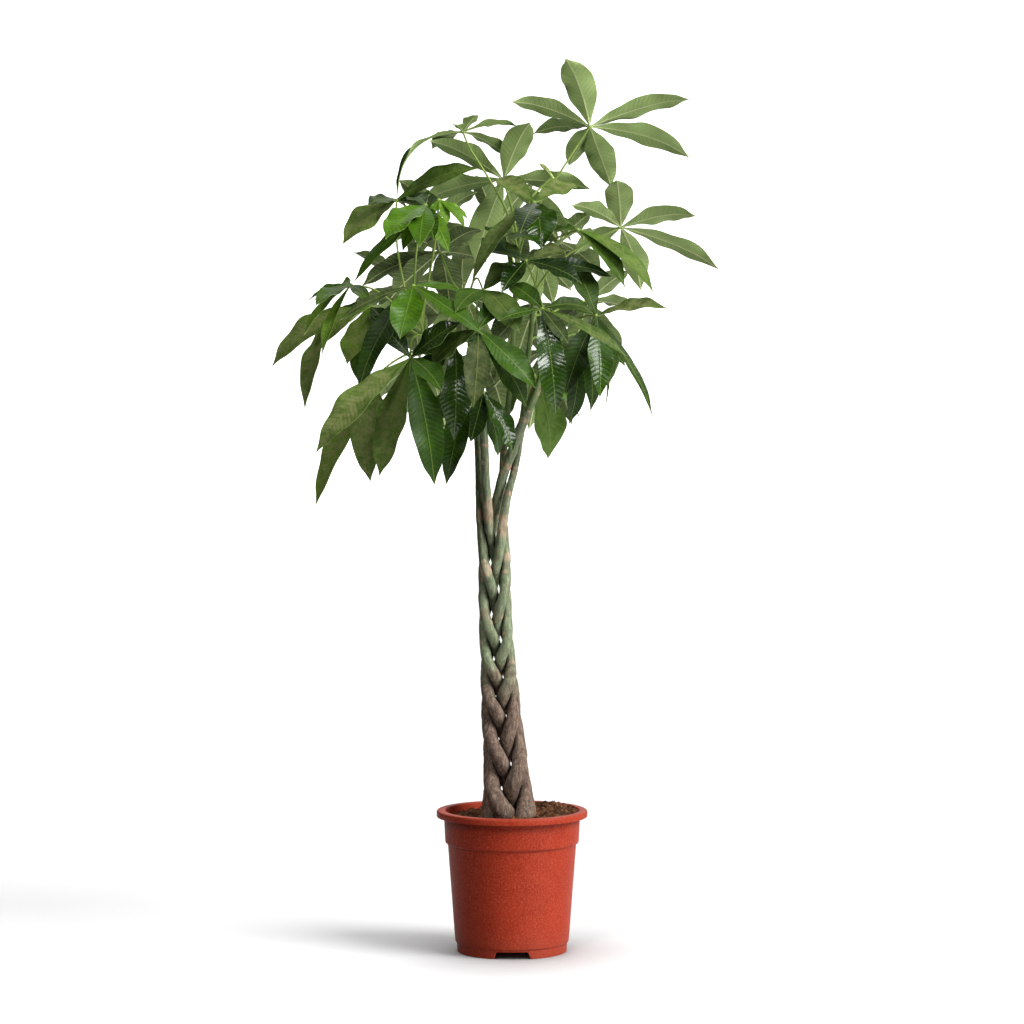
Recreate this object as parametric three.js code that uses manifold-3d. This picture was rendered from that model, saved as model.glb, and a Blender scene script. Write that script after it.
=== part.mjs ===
// A potted money tree: five young trunks planted together, braided by hand, in a plastic grower's pot.
// Millimetres, +Z up, the front towards -Y. The origin is at the middle of the plant's box, on the floor.
import * as THREE from "three";
import { mergeVertices } from "three/addons/utils/BufferGeometryUtils.js";
import Module from "manifold-3d";

const wasm = await Module();
wasm.setup();

// Driving dimensions
const AXIS_X = 20; // the pot stands this far to the right of the middle of the whole plant
const GAP = 0.3; // between pieces that touch
const JOIN_TOLERANCE = 0.12;

const POT_HEIGHT = 196;
const RIM_RADIUS = 105;
const LIP_HEIGHT = 9;
const WALL = 1.8;
const STEP_Z = 151; // the wall steps in under the upper band
const BAND_TOP_RADIUS = 94.5;
const BAND_FOOT_RADIUS = 92.6;
const BODY_TOP_RADIUS = 89;
const BODY_FOOT_RADIUS = 79;
const FOOT_RADIUS = 76;
const FOOT_INNER_RADIUS = 70;
const FOOT_HEIGHT = 12;
const FLOOR_Z = 17;
const NOTCHES = 3;
const NOTCH_HEIGHT = 10;
const NOTCH_TOP_WIDTH = 44;
const NOTCH_FOOT_WIDTH = 51;
const DRAIN_HOLES = 6;
const DRAIN_RADIUS = 5;
const DRAIN_CIRCLE = 52;
const DRAIN_SIDES = 10;
const CUTTER_LENGTH = 40; // long enough to go through the foot ring
const DRILL_LENGTH = 12; // and through the floor
const POT_SEGMENTS = 30;

const SOIL_LEVEL = 187;
const SOIL_RISE_RIGHT = 6;
const SOIL_RISE_BACK = 3.5;
const SOIL_LUMP = 1.8;
// Each wave of the soil's top: its share of SOIL_LUMP, its pitch to the right and to the back, and its start
const SOIL_WAVES = [[1, 0.21, 0.19, 1.3], [0.8, -0.12, 0.37, 2], [0.6, 0.55, 0.31, 0]];
const SOIL_HEAP = 3; // the soil is heaped round the trunks
const SOIL_HEAP_RADIUS = 37.4;
const SOIL_RINGS = 7;
const SOIL_EDGE_RADIUS = BAND_TOP_RADIUS - WALL - 1.1;

const STEM_FOOT_Z = 122; // how deep the trunks stand
const STEM_STRAIGHT_Z = 186; // below the soil they go straight down
const BRAID_TOP_Z = 548; // above this the trunks part
const THIN_FROM_Z = 528; // here a trunk's radius begins to change to the one at its end
const THIN_TO_Z = 698;
const BRAID_STEPS = 34;
const STEM_SIDES = 6;
const TRUNK_STEPS = 40;
const SHOOT_SIDES = 6;
const SHOOT_STEPS = 8;
const STALK_SIDES = 4;
const STALK_STEPS = 6;
const STEM_TURN_Z = 260; // a trunk is at its left-most at this height
const LOW_CROSSING = 69; // height between two crossings in the lower braid
const MIDDLE_CROSSING = 50; // where the braid is tight
const HIGH_CROSSING = 72; // and above that
const TIGHTEN_Z = 330;
const LOOSEN_Z = 428;
const CHANGE_SOFTNESS = 12; // height over which the braid's pace changes
const ACROSS_OVERTONES = [[1, 1], [3, 0.04], [5, -0.07]]; // pitch and share of each wave in the braid's shape
const DEPTH_OVERTONES = [[2, 0.83], [4, -0.19], [6, -0.04]];
const EASED_SHARE = 0.35; // how far the braid's middle and width are rounded between their stops
const STEM_FILL = 0.45; // trunk radius over the half width of the braid's centre lines

const BLADE_STOPS = [0, 0.2, 0.48, 0.77, 0.995];
const BLADE_ARCH = 0.055;
const BLADE_LEAN = 1.2; // moves the widest place of a leaflet past its middle
const BLADE_FULLNESS = 0.9;
const BLADE_RISE = 0.55; // the rib stands this far above the middle of the blade
const BLADE_KEEL = 0.95; // and below it
const BLADE_FOLD = 0.14; // the halves of a blade rise this much to each side
const BLADE_WAVE = 1.1;
const WAVE_PITCH = 2.4; // from one ring of a leaflet to the next
const WAVE_START = 1.7; // and from one leaflet to the next
const SLIM = 0.9; // half the width at a leaflet's two ends
const HUB_RADIUS = 4;
const NECK_LENGTH = 1.6; // of the knob, over its radius
const NECK_RADIUS = 0.45;
const ROOT_START = 0.6; // a leaflet begins this far from the middle of the hub, inside it
const PETIOLE_FOOT_RADIUS = 2.1;
const PETIOLE_TIP_RADIUS = 1.5;

const vec = (x, y, z) => new THREE.Vector3(x, y, z);
const { lerp, smoothstep, clamp } = THREE.MathUtils;

// Materials
const finish = (color, roughness) => new THREE.MeshStandardMaterial({ color, roughness, metalness: 0 });
const terracotta = finish(0xb84a2c, 0.55);
const peat = finish(0x4a2f20, 0.95);
const bark = finish(0x77705c, 0.8);
const greenShoot = finish(0x8a9c4e, 0.6);
const leafGreen = finish(0x3f7a2a, 0.45);

// Solids
function solid(geometry) {
  const bare = geometry.clone();
  bare.deleteAttribute("normal");
  bare.deleteAttribute("uv");
  const merged = mergeVertices(bare, 1e-4);
  return new wasm.Manifold(
    new wasm.Mesh({
      numProp: 3,
      vertProperties: new Float32Array(merged.attributes.position.array),
      triVerts: new Uint32Array(merged.index.array),
    })
  );
}

function geometryOf(body) {
  const mesh = body.getMesh();
  const geometry = new THREE.BufferGeometry();
  geometry.setAttribute("position", new THREE.BufferAttribute(new Float32Array(mesh.vertProperties), 3));
  geometry.setIndex(new THREE.BufferAttribute(new Uint32Array(mesh.triVerts), 1));
  return geometry;
}

// Joins bodies into one, and takes up the slivers left where they meet
const join = (bodies) => bodies.reduce((whole, body) => whole.add(body)).simplify(JOIN_TOLERANCE);

const plant = new THREE.Group();

function place(name, geometry, material) {
  geometry.computeVertexNormals();
  const mesh = new THREE.Mesh(geometry, material);
  mesh.name = name;
  plant.add(mesh);
}

// A closed skin over rings of equal count. edgeFirst lists the sides whose diagonals run the other way.
function loft(rings, edgeFirst = []) {
  const sides = rings[0].length;
  const positions = [];
  const index = [];
  for (const ring of rings) for (const p of ring) positions.push(p.x, p.y, p.z);
  const at = (row, side) => row * sides + (side % sides);
  for (let row = 0; row + 1 < rings.length; row++)
    for (let side = 0; side < sides; side++) {
      const [a, b, c, d] = [at(row, side), at(row, side + 1), at(row + 1, side + 1), at(row + 1, side)];
      if (edgeFirst.includes(side)) index.push(a, b, d, b, c, d);
      else index.push(a, b, c, a, c, d);
    }
  const last = rings.length - 1;
  for (let side = 1; side + 1 < sides; side++) {
    index.push(at(0, 0), at(0, side + 1), at(0, side));
    index.push(at(last, 0), at(last, side), at(last, side + 1));
  }
  const geometry = new THREE.BufferGeometry();
  geometry.setAttribute("position", new THREE.Float32BufferAttribute(positions, 3));
  geometry.setIndex(index);
  return geometry;
}

// A tapered round tube along a smooth curve through points, radiusAt(0) at its start, radiusAt(1) at its end.
function tubeRings(points, radiusAt, sides, steps) {
  const curve = new THREE.CatmullRomCurve3(points, false, "centripetal");
  const frames = curve.computeFrenetFrames(steps, false);
  const rings = [];
  for (let i = 0; i <= steps; i++) {
    const centre = curve.getPointAt(i / steps);
    const radius = radiusAt(i / steps);
    const ring = [];
    for (let side = 0; side < sides; side++) {
      const turn = (2 * Math.PI * side) / sides;
      ring.push(
        centre
          .clone()
          .addScaledVector(frames.normals[i], radius * Math.cos(turn))
          .addScaledVector(frames.binormals[i], radius * Math.sin(turn))
      );
    }
    rings.push(ring);
  }
  return rings;
}

const tube = (points, radiusAt, sides, steps) => loft(tubeRings(points, radiusAt, sides, steps));

// Pot: one moulding turned about its axis, with cut-outs in the foot ring and drain holes in the floor
function potProfile() {
  const lipFoot = POT_HEIGHT - LIP_HEIGHT;
  return [
    [0, FLOOR_Z - WALL],
    [FOOT_INNER_RADIUS - 2, FLOOR_Z - WALL - 1],
    [FOOT_INNER_RADIUS, FOOT_HEIGHT],
    [FOOT_INNER_RADIUS, 0],
    [FOOT_RADIUS, 0],
    [FOOT_RADIUS + 0.3, FOOT_HEIGHT],
    [BODY_FOOT_RADIUS - 0.9, FOOT_HEIGHT + 1.2],
    [BODY_FOOT_RADIUS, FOOT_HEIGHT + 4.5],
    [BODY_TOP_RADIUS, STEP_Z - 1],
    [BAND_FOOT_RADIUS - 0.6, STEP_Z],
    [BAND_FOOT_RADIUS, STEP_Z + 1.5],
    [BAND_TOP_RADIUS, POT_HEIGHT - WALL - 0.8],
    [RIM_RADIUS - WALL, POT_HEIGHT - WALL - 0.8],
    [RIM_RADIUS - WALL, lipFoot],
    [RIM_RADIUS, lipFoot],
    [RIM_RADIUS, POT_HEIGHT - 3.4],
    [RIM_RADIUS - 1, POT_HEIGHT - 1],
    [RIM_RADIUS - 3.2, POT_HEIGHT],
    [BAND_TOP_RADIUS + 1, POT_HEIGHT],
    [BAND_TOP_RADIUS - WALL + 0.6, POT_HEIGHT - 1],
    [BAND_TOP_RADIUS - WALL, POT_HEIGHT - 4],
    [BAND_FOOT_RADIUS - WALL, STEP_Z + 4],
    [BODY_TOP_RADIUS - WALL, STEP_Z - 1],
    [BODY_FOOT_RADIUS - WALL + 0.4, FLOOR_Z + 6],
    [BODY_FOOT_RADIUS - WALL - 3, FLOOR_Z],
    [0, FLOOR_Z],
  ].map(([radius, z]) => new THREE.Vector2(radius, z));
}

function turned(profile, segments) {
  return new THREE.LatheGeometry(profile, segments).rotateX(Math.PI / 2);
}

let pot = solid(turned(potProfile(), POT_SEGMENTS));
for (let i = 0; i < NOTCHES; i++) {
  const outline = new THREE.Shape([
    new THREE.Vector2(-NOTCH_FOOT_WIDTH / 2, -1),
    new THREE.Vector2(NOTCH_FOOT_WIDTH / 2, -1),
    new THREE.Vector2(NOTCH_TOP_WIDTH / 2, NOTCH_HEIGHT),
    new THREE.Vector2(-NOTCH_TOP_WIDTH / 2, NOTCH_HEIGHT),
  ]);
  const cutter = new THREE.ExtrudeGeometry(outline, { depth: CUTTER_LENGTH, bevelEnabled: false });
  cutter.rotateX(Math.PI / 2).translate(0, CUTTER_LENGTH / 2 - FOOT_INNER_RADIUS, 0);
  cutter.rotateZ((2 * Math.PI * i) / NOTCHES);
  pot = pot.subtract(solid(cutter));
}
for (let i = 0; i < DRAIN_HOLES; i++) {
  const turn = (2 * Math.PI * (i + 0.5)) / DRAIN_HOLES;
  const drill = new THREE.CylinderGeometry(DRAIN_RADIUS, DRAIN_RADIUS, DRILL_LENGTH, DRAIN_SIDES);
  drill.rotateX(Math.PI / 2).translate(DRAIN_CIRCLE * Math.cos(turn), DRAIN_CIRCLE * Math.sin(turn), FLOOR_Z);
  pot = pot.subtract(solid(drill));
}

// Trunks. The middle line of the braid wanders a little, and its half width narrows upwards.
function along(stops, z) {
  for (let i = 1; i < stops.length; i++)
    if (z <= stops[i][0]) {
      const [z0, a] = stops[i - 1];
      const [z1, b] = stops[i];
      return lerp(a, b, lerp(clamp((z - z0) / (z1 - z0), 0, 1), smoothstep(z, z0, z1), EASED_SHARE));
    }
  return stops[stops.length - 1][1];
}

const BRAID_CENTRE = [[191, -4], [253, -8], [349, -16], [411, -20], [459, -23], [569, -25]];
const BRAID_HALF_WIDTH = [[191, 37], [225, 32.5], [253, 30], [349, 25.7], [411, 23.7], [459, 23], [569, 22]];

// Crossings passed since the lowest turn: even steps below, then closer ones, then wider ones.
function crossings(z) {
  const above = (height) => CHANGE_SOFTNESS * Math.log(1 + Math.exp((z - height) / CHANGE_SOFTNESS));
  return (
    (z - STEM_TURN_Z) / LOW_CROSSING +
    (1 / MIDDLE_CROSSING - 1 / LOW_CROSSING) * above(TIGHTEN_Z) -
    (1 / MIDDLE_CROSSING - 1 / HIGH_CROSSING) * above(LOOSEN_Z)
  );
}

function braidReach(z) {
  return along(BRAID_HALF_WIDTH, z) / (1 + STEM_FILL);
}

// The five centre lines share one flat figure of eight, a fifth of a turn apart.
function braidPoint(strand, z) {
  const held = Math.max(z, STEM_STRAIGHT_Z);
  const turn = (2 * Math.PI * (strand - crossings(held))) / 5;
  const reach = braidReach(held);
  const widest = ACROSS_OVERTONES.reduce((sum, [, share]) => sum + share, 0);
  const across = ACROSS_OVERTONES.reduce((sum, [pitch, share]) => sum + share * Math.cos(pitch * turn), 0);
  const deep = DEPTH_OVERTONES.reduce((sum, [pitch, share]) => sum + share * Math.sin(pitch * turn), 0);
  return vec(along(BRAID_CENTRE, held) - (reach * across) / widest, -reach * deep, z);
}

// Above the braid each trunk goes its own way, through these points to its cut or grown end.
const TRUNKS = [
  {
    name: "trunk_left",
    strand: 0,
    endRadius: 4.4,
    top: [[-42, -4, 580], [-44.5, 0, 615], [-46, 4, 655], [-48, 6, 707], [-50, 8, 740]],
  },
  {
    name: "trunk_front",
    strand: 1,
    endRadius: 5.8,
    top: [[-31, -9, 583], [-33, -11, 611], [-35, -11, 638], [-36.5, -10, 666], [-39, -9, 721],
      [-44, -9, 765]],
  },
  {
    name: "trunk_back",
    strand: 2,
    endRadius: 5,
    top: [[-11.5, 11, 578], [-13, 17, 604], [-13, 20, 645], [-12, 21, 685], [-8, 22, 735]],
  },
  {
    name: "trunk_right",
    strand: 3,
    endRadius: 4.8,
    top: [[-15.5, -13, 570], [-12.5, -12, 592], [-9.5, -10, 613], [-4.8, -6.5, 636], [2.5, 1.5, 662],
      [8, 7, 690], [16, 13, 745]],
  },
  {
    name: "trunk_cut",
    strand: 4,
    endRadius: 6.8,
    top: [[-28.5, 8, 578], [-24.5, 6, 604], [-20, 3, 628], [-12, -1, 660], [-2, -4, 686], [8, -5, 714],
      [22, -6, 748], [34, -8, 779]],
  },
];

function trunkCurve(trunk) {
  const points = [];
  for (let i = 0; i <= BRAID_STEPS; i++)
    points.push(braidPoint(trunk.strand, lerp(STEM_FOOT_Z, BRAID_TOP_Z, i / BRAID_STEPS)));
  for (const point of trunk.top) points.push(vec(...point));
  return points;
}

// grow makes the same trunk fatter and longer, for the hole that it stands in and the seat of its shoot
function trunkSolid(trunk, grow) {
  const points = trunkCurve(trunk);
  const [beforeLast, last] = points.slice(-2);
  last.addScaledVector(last.clone().sub(beforeLast).normalize(), grow);
  points[0].z -= grow;
  const top = last.z;
  const radiusAt = (u) => {
    const z = lerp(STEM_FOOT_Z, top, u);
    const inBraid = braidReach(Math.min(Math.max(z, STEM_STRAIGHT_Z), BRAID_TOP_Z)) * STEM_FILL;
    return lerp(inBraid, trunk.endRadius, smoothstep(z, THIN_FROM_Z, THIN_TO_Z)) + grow;
  };
  return solid(tube(points, radiusAt, STEM_SIDES, TRUNK_STEPS));
}

// Green leaders, one from each trunk. shoot_front leaves the side of its cut trunk, from a point inside it.
const SHOOTS = [
  {
    name: "shoot_top",
    from: "trunk_back",
    radii: [4, 3.2],
    points: [[-8, 22, 735], [-2, 22, 790], [2, 18, 860], [6, 12, 930], [11, 5, 989]],
  },
  {
    name: "shoot_left",
    from: "trunk_front",
    radii: [4.4, 3],
    points: [[-44, -9, 765], [-58, -16, 786], [-92, -30, 822], [-138, -40, 866]],
  },
  {
    name: "shoot_back",
    from: "trunk_left",
    radii: [3.6, 3],
    points: [[-50, 8, 740], [-55, 14, 800], [-60, 20, 860], [-62, 24, 905]],
  },
  {
    name: "shoot_front",
    from: "trunk_cut",
    radii: [4.4, 3],
    points: [[21, -6, 746], [33, -24, 776], [43, -34, 815], [47, -40, 862]],
  },
  {
    name: "shoot_right",
    from: "trunk_right",
    radii: [4, 3],
    points: [[16, 13, 745], [20, 19, 800], [26, 17, 855], [30, 12, 912]],
  },
];

function shootSolid(shoot, grow) {
  const radiusAt = (u) => lerp(shoot.radii[0], shoot.radii[1], u) + grow;
  const points = shoot.points.map((point) => vec(...point));
  const [beforeLast, last] = points.slice(-2);
  last.addScaledVector(last.clone().sub(beforeLast).normalize(), grow);
  return solid(tube(points, radiusAt, SHOOT_SIDES, SHOOT_STEPS));
}

// Leaves. hub is where the leaflets meet, up is the way their tops face, at is how far up its shoot the stalk
// starts, and stalk is its course from there to the hub. Each leaflet's tip is given from the hub: right,
// back, up, then the leaflet's width, and its arch where that isn't the usual one.
const TO_FRONT = [0, -0.6, 0.8];
const TO_BACK = [0, 0.62, 0.78];
const LEAVES = [
  // crown, seen from below
  { name: "leaf_01", shoot: "shoot_top", at: 0.965, hub: [107, 10, 1138], up: TO_BACK,
    stalk: [[26, 14, 1004], [42, 8, 1040], [56, 6, 1060]],
    blades: [[-34, -62, 90, 45], [135, -25, 39, 37], [139, 25, -37, 39], [32, 70, -77, 41],
      [-28, 62, -48, 35], [-107, -10, 36, 34], [-76, 55, -3, 29]] },
  { name: "leaf_02", shoot: "shoot_top", at: 1, hub: [56, -14, 1068], up: TO_BACK,
    stalk: [[13, -7, 1008], [27, -15, 1040]],
    blades: [[-19, -8, 19, 7], [4, -8, -16, 6], [-4, 6, -11, 5]] },
  { name: "leaf_03", shoot: "shoot_top", at: 0.94, hub: [-12, 0, 1065], up: TO_BACK,
    stalk: [[4, 8, 1004], [-1, 6, 1028]],
    blades: [[36, -60, 76, 40], [-101, -30, 54, 37], [-117, 30, -30, 37], [-40, 40, -113, 44],
      [95, 40, -80, 37], [120, 0, -8, 35]] },
  { name: "leaf_04", shoot: "shoot_top", at: 0.91, hub: [-67, -50, 1127], up: [0, 0.2, 0.98],
    stalk: [[-7, -16, 1020], [-30, -32, 1062], [-44, -40, 1084], [-58, -48, 1106]],
    blades: [[-90, -50, -87, 36, 0.2], [21, -36, 21, 20], [-11, -46, 7, 16], [74, 14, 11, 31],
      [65, 34, -32, 30], [-43, 30, -18, 28]] },
  // crown, seen from above
  { name: "leaf_05", shoot: "shoot_top", at: 0.88, hub: [30, -90, 1029], up: TO_FRONT,
    stalk: [[16, -22, 985], [24, -60, 1012]],
    blades: [[10, -60, -63, 46, 0.12], [-85, -40, -106, 22, 0.16], [-19, -90, -41, 34],
      [60, 70, 30, 34], [-50, 80, 40, 34]] },
  { name: "leaf_06", shoot: "shoot_left", at: 0.93, hub: [-158, -20, 1036], up: [-0.15, -0.78, 0.61],
    stalk: [[-144, -30, 905], [-157, -18, 972]],
    blades: [[112, -20, 45, 34], [-72, -40, -59, 42], [-36, -60, -8, 26], [66, 24, -6, 28], [39, 62, -21, 28],
      [30, 70, -34, 26]] },
  { name: "leaf_07", shoot: "shoot_right", at: 0.985, hub: [150, 10, 1000], up: TO_BACK,
    stalk: [[50, 10, 938], [82, 10, 966]],
    blades: [[-8, -72, 63, 41], [101, -40, 17, 35], [138, 20, -54, 31], [30, 60, -83, 37], [-63, 62, -32, 34],
      [-70, -60, 30, 31]] },
  { name: "leaf_08", shoot: "shoot_top", at: 0.82, hub: [90, -50, 994], up: [0.1, -0.45, 0.88],
    stalk: [[30, -18, 960], [62, -36, 984]],
    blades: [[64, -30, -76, 30], [104, -14, -82, 34], [-52, -30, 27, 17], [-44, 30, -4, 26],
      [-42, 50, -38, 30], [10, 96, -6, 32]] },
  { name: "leaf_09", shoot: "shoot_left", at: 0.965, hub: [-116, -100, 1025], up: [-0.1, -0.62, 0.78],
    stalk: [[-134, -52, 905], [-128, -80, 972]],
    blades: [[-98, -20, -101, 22, 0.02], [-51, -80, -45, 44], [-30, -50, -61, 24], [-6, -95, -56, 34],
      [12, -60, -47, 26], [32, -40, -63, 24, 0.12], [-20, 80, 14, 31]] },
  { name: "leaf_10", shoot: "shoot_left", at: 0.895, hub: [-99, -66, 1034], up: [0.1, -0.5, 0.86],
    stalk: [[-118, -42, 905], [-104, -54, 980]],
    blades: [[12, -16, -33, 15], [36, -10, -37, 16], [40, 8, -24, 14], [-12, -12, -24, 11]] },
  { name: "leaf_11", shoot: "shoot_left", at: 1, hub: [-219, -60, 919], up: [-0.25, -0.5, 0.83],
    stalk: [[-160, -52, 893], [-190, -60, 914]],
    blades: [[-30, 76, -8, 30], [-44, -66, -26, 31], [-62, -40, -65, 16, 0.1], [-37, -60, -92, 15],
      [-59, 24, -18, 18], [30, -84, -23, 18]] },
  { name: "leaf_12", shoot: "shoot_back", at: 0.98, hub: [-99, 10, 967], up: TO_BACK,
    stalk: [[-80, 14, 922], [-92, 8, 948]],
    blades: [[58, -64, 30, 34], [63, 54, -10, 34], [12, 62, -72, 42], [-69, -8, -63, 42], [-110, 20, -45, 36],
      [-33, -72, 14, 31], [-3, -76, 19, 29]] },
  { name: "leaf_13", shoot: "shoot_left", at: 0.75, hub: [-193, -20, 890], up: [-0.3, -0.72, 0.62],
    stalk: [[-150, -48, 866], [-178, -36, 884]],
    blades: [[-136, -20, -78, 39, 0.12], [-91, -40, -136, 38, 0.26], [-32, -50, -77, 40], [40, -90, -50, 34],
      [20, 92, -10, 33], [-60, 82, -20, 33], [-16, -24, -107, 30, 0.1]] },
  { name: "leaf_14", shoot: "shoot_left", at: 0.825, hub: [-132, -130, 916], up: [0, -0.66, 0.75],
    stalk: [[-127, -64, 880], [-132, -104, 910]],
    blades: [[-16, -62, -69, 45], [94, -44, -63, 26], [66, 24, -6, 16], [-97, -24, -43, 14],
      [-74, -24, -138, 33, 0.1]] },
  // middle, front
  { name: "leaf_15", shoot: "shoot_left", at: 0.7, hub: [-135, -150, 820], up: [0, -0.72, 0.7],
    stalk: [[-116, -76, 850], [-134, -118, 846]],
    blades: [[-54, 24, 59, 34], [65, -24, 48, 36], [83, 40, 30, 34], [43, -84, -41, 35],
      [33, -34, -167, 45, 0.08], [-126, -34, -122, 41, 0.03], [-44, 14, -158, 40, 0.04]] },
  { name: "leaf_16", shoot: "shoot_left", at: 0.62, hub: [-191, -60, 790], up: [-0.2, -0.6, 0.78],
    stalk: [[-124, -30, 832], [-160, -46, 816]],
    blades: [[-78, -24, -167, 35, 0.02], [-2, -24, -136, 42, 0.08], [12, 24, -65, 31], [-60, 64, -60, 34]] },
  { name: "leaf_17", shoot: "shoot_back", at: 0.9, hub: [-45, -170, 857], up: [0, -0.74, 0.67],
    stalk: [[-56, -30, 900], [-48, -110, 898]],
    blades: [[-6, -44, -101, 35, 0.1], [78, -24, -76, 38], [66, 14, -102, 35], [-64, 30, -46, 33],
      [36, 50, 40, 31]] },
  { name: "leaf_18", shoot: "shoot_back", at: 0.82, hub: [-77, -110, 839], up: [0, -0.7, 0.7],
    stalk: [[-68, -28, 880], [-76, -78, 866]],
    blades: [[-1, -34, -127, 41, 0.1], [-66, -24, -66, 33], [44, 54, 10, 31], [-40, 66, 10, 31]] },
  { name: "leaf_19", shoot: "shoot_back", at: 0.52, hub: [-61, -60, 790], up: [0, -0.6, 0.8],
    stalk: [[-60, -20, 834], [-62, -46, 814]],
    blades: [[-29, -24, -140, 35, 0.08], [34, 24, -66, 29], [-66, -34, -74, 31]] },
  { name: "leaf_20", shoot: "shoot_back", at: 0.42, hub: [-39, -62, 773], up: [0.1, -0.6, 0.8],
    stalk: [[-48, -20, 812], [-42, -46, 798]],
    blades: [[41, -24, -80, 31], [22, 24, -87, 30], [-17, -34, -65, 29]] },
  { name: "leaf_21", shoot: "shoot_front", at: 0.93, hub: [40, -150, 885], up: [0, -0.7, 0.7],
    stalk: [[55, -70, 866], [48, -114, 886]],
    blades: [[18, -44, -137, 39, 0.1], [112, -24, -60, 17], [69, 30, -3, 26, 0.13], [34, -34, -44, 22],
      [-58, -40, -14, 16], [-44, 44, 34, 31]] },
  { name: "leaf_22", shoot: "shoot_front", at: 0.86, hub: [114, -90, 877], up: [0.15, -0.6, 0.8],
    stalk: [[68, -58, 862], [98, -80, 876]],
    blades: [[92, -44, 12, 34], [-33, 60, 80, 37], [-70, 30, 15, 26], [-43, -24, -105, 37, 0.1],
      [4, -54, -108, 34, 0.08], [20, 24, -92, 26], [80, 14, -134, 15, 0.07]] },
  { name: "leaf_23", shoot: "shoot_front", at: 0.76, hub: [94, -20, 852], up: [0.2, -0.4, 0.88],
    stalk: [[62, -32, 842], [82, -24, 852]],
    blades: [[15, -20, -103, 31, 0.1], [40, 44, -92, 31, 0.1], [-14, 14, -123, 27, 0.08],
      [60, -60, -40, 30]] },
  { name: "leaf_24", shoot: "shoot_front", at: 1, hub: [19, -80, 951], up: [0.05, -0.6, 0.8],
    stalk: [[43, -50, 884], [30, -66, 924]],
    blades: [[75, -30, -29, 33], [118, 24, -18, 26], [60, 44, 18, 26], [-56, -40, 13, 33],
      [-33, -60, -42, 28], [-58, 50, 26, 30]] },
  { name: "leaf_25", shoot: "shoot_right", at: 0.3, hub: [31, 46, 796], up: [0.15, -0.62, 0.77],
    stalk: [[27, 34, 806]],
    blades: [[21, 16, -116, 48, 0.1], [66, 50, -56, 35], [-40, 60, -74, 34]] },
  { name: "leaf_26", shoot: "shoot_back", at: 0.94, hub: [-39, -110, 911], up: [0, -0.72, 0.7],
    stalk: [[-54, -20, 922], [-46, -76, 927]],
    blades: [[49, -44, -55, 43], [45, 40, 40, 35], [-36, -64, -28, 33]] },
  { name: "leaf_27", shoot: "shoot_right", at: 0.95, hub: [36, 44, 958], up: TO_BACK,
    stalk: [[34, 24, 926], [36, 36, 944]],
    blades: [[-29, 8, -58, 27], [-8, 20, -70, 29], [22, 44, -62, 29], [47, 54, -41, 29]] },
  { name: "leaf_28", shoot: "shoot_top", at: 0.85, hub: [-10, -20, 986], up: [0, -0.5, 0.86],
    stalk: [[0, -4, 968]],
    blades: [[39, -50, -6, 34], [-26, -64, -26, 33], [10, 64, -62, 34], [-21, 40, 16, 29]] },
  // back
  { name: "leaf_29", shoot: "shoot_left", at: 0.79, hub: [-150, 70, 924], up: [-0.2, 0.5, 0.84],
    stalk: [[-122, 6, 872], [-140, 44, 908]],
    blades: [[-80, 50, -50, 37], [-30, 96, -66, 38], [50, 86, -44, 37], [20, 44, -104, 37, 0.1],
      [84, 30, 4, 33], [-70, 10, 46, 31]] },
  { name: "leaf_30", shoot: "shoot_back", at: 0.86, hub: [-70, 130, 912], up: [0, 0.6, 0.8],
    stalk: [[-64, 62, 896], [-68, 104, 910]],
    blades: [[-84, 60, -66, 37], [0, 100, -66, 41], [80, 60, -44, 38], [34, 30, -118, 37, 0.1],
      [-44, 24, -116, 37, 0.1], [4, -60, 70, 33]] },
  { name: "leaf_31", shoot: "shoot_right", at: 0.7, hub: [34, 140, 900], up: [0, 0.62, 0.78],
    stalk: [[32, 60, 876], [34, 108, 892]],
    blades: [[-70, 60, -70, 37], [6, 100, -70, 41], [84, 56, -50, 38], [40, 24, -120, 37, 0.1],
      [-36, 20, -112, 37, 0.1]] },
  { name: "leaf_32", shoot: "shoot_right", at: 0.8, hub: [108, 100, 900], up: [0.2, 0.5, 0.84],
    stalk: [[56, 44, 884], [84, 78, 900]],
    blades: [[61, 40, -10, 37], [14, 100, -60, 39], [-56, 80, -34, 37], [38, 24, -104, 37, 0.1],
      [-30, 34, -106, 35, 0.1], [56, -24, 44, 33]] },
  { name: "leaf_33", shoot: "shoot_top", at: 0.78, hub: [-20, 90, 1006], up: [0, 0.6, 0.8],
    stalk: [[0, 44, 958], [-12, 72, 988]],
    blades: [[-86, 40, -46, 35], [-40, 90, -60, 37], [40, 90, -50, 37], [86, 40, -20, 35], [-30, -30, 70, 31],
      [50, -10, 60, 31]] },
  { name: "leaf_34", shoot: "shoot_left", at: 0.5, hub: [-118, 90, 824], up: [-0.2, 0.5, 0.84],
    stalk: [[-92, 6, 830], [-108, 54, 838]],
    blades: [[-84, 30, -70, 37], [-50, 50, -116, 37, 0.1], [24, 60, -104, 37, 0.1], [60, 66, -20, 35],
      [-70, 60, 30, 33]] },
  { name: "leaf_35", shoot: "shoot_right", at: 0.5, hub: [44, 100, 832], up: [0.1, 0.6, 0.8],
    stalk: [[28, 44, 846], [38, 78, 848]],
    blades: [[-70, 50, -50, 35], [-20, 60, -112, 37, 0.1], [42, 44, -104, 37, 0.1], [80, 50, -30, 35]] },
  { name: "leaf_36", shoot: "shoot_top", at: 0.74, hub: [66, 92, 984], up: [0.1, 0.6, 0.8],
    stalk: [[8, 60, 942], [38, 88, 966]],
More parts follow.
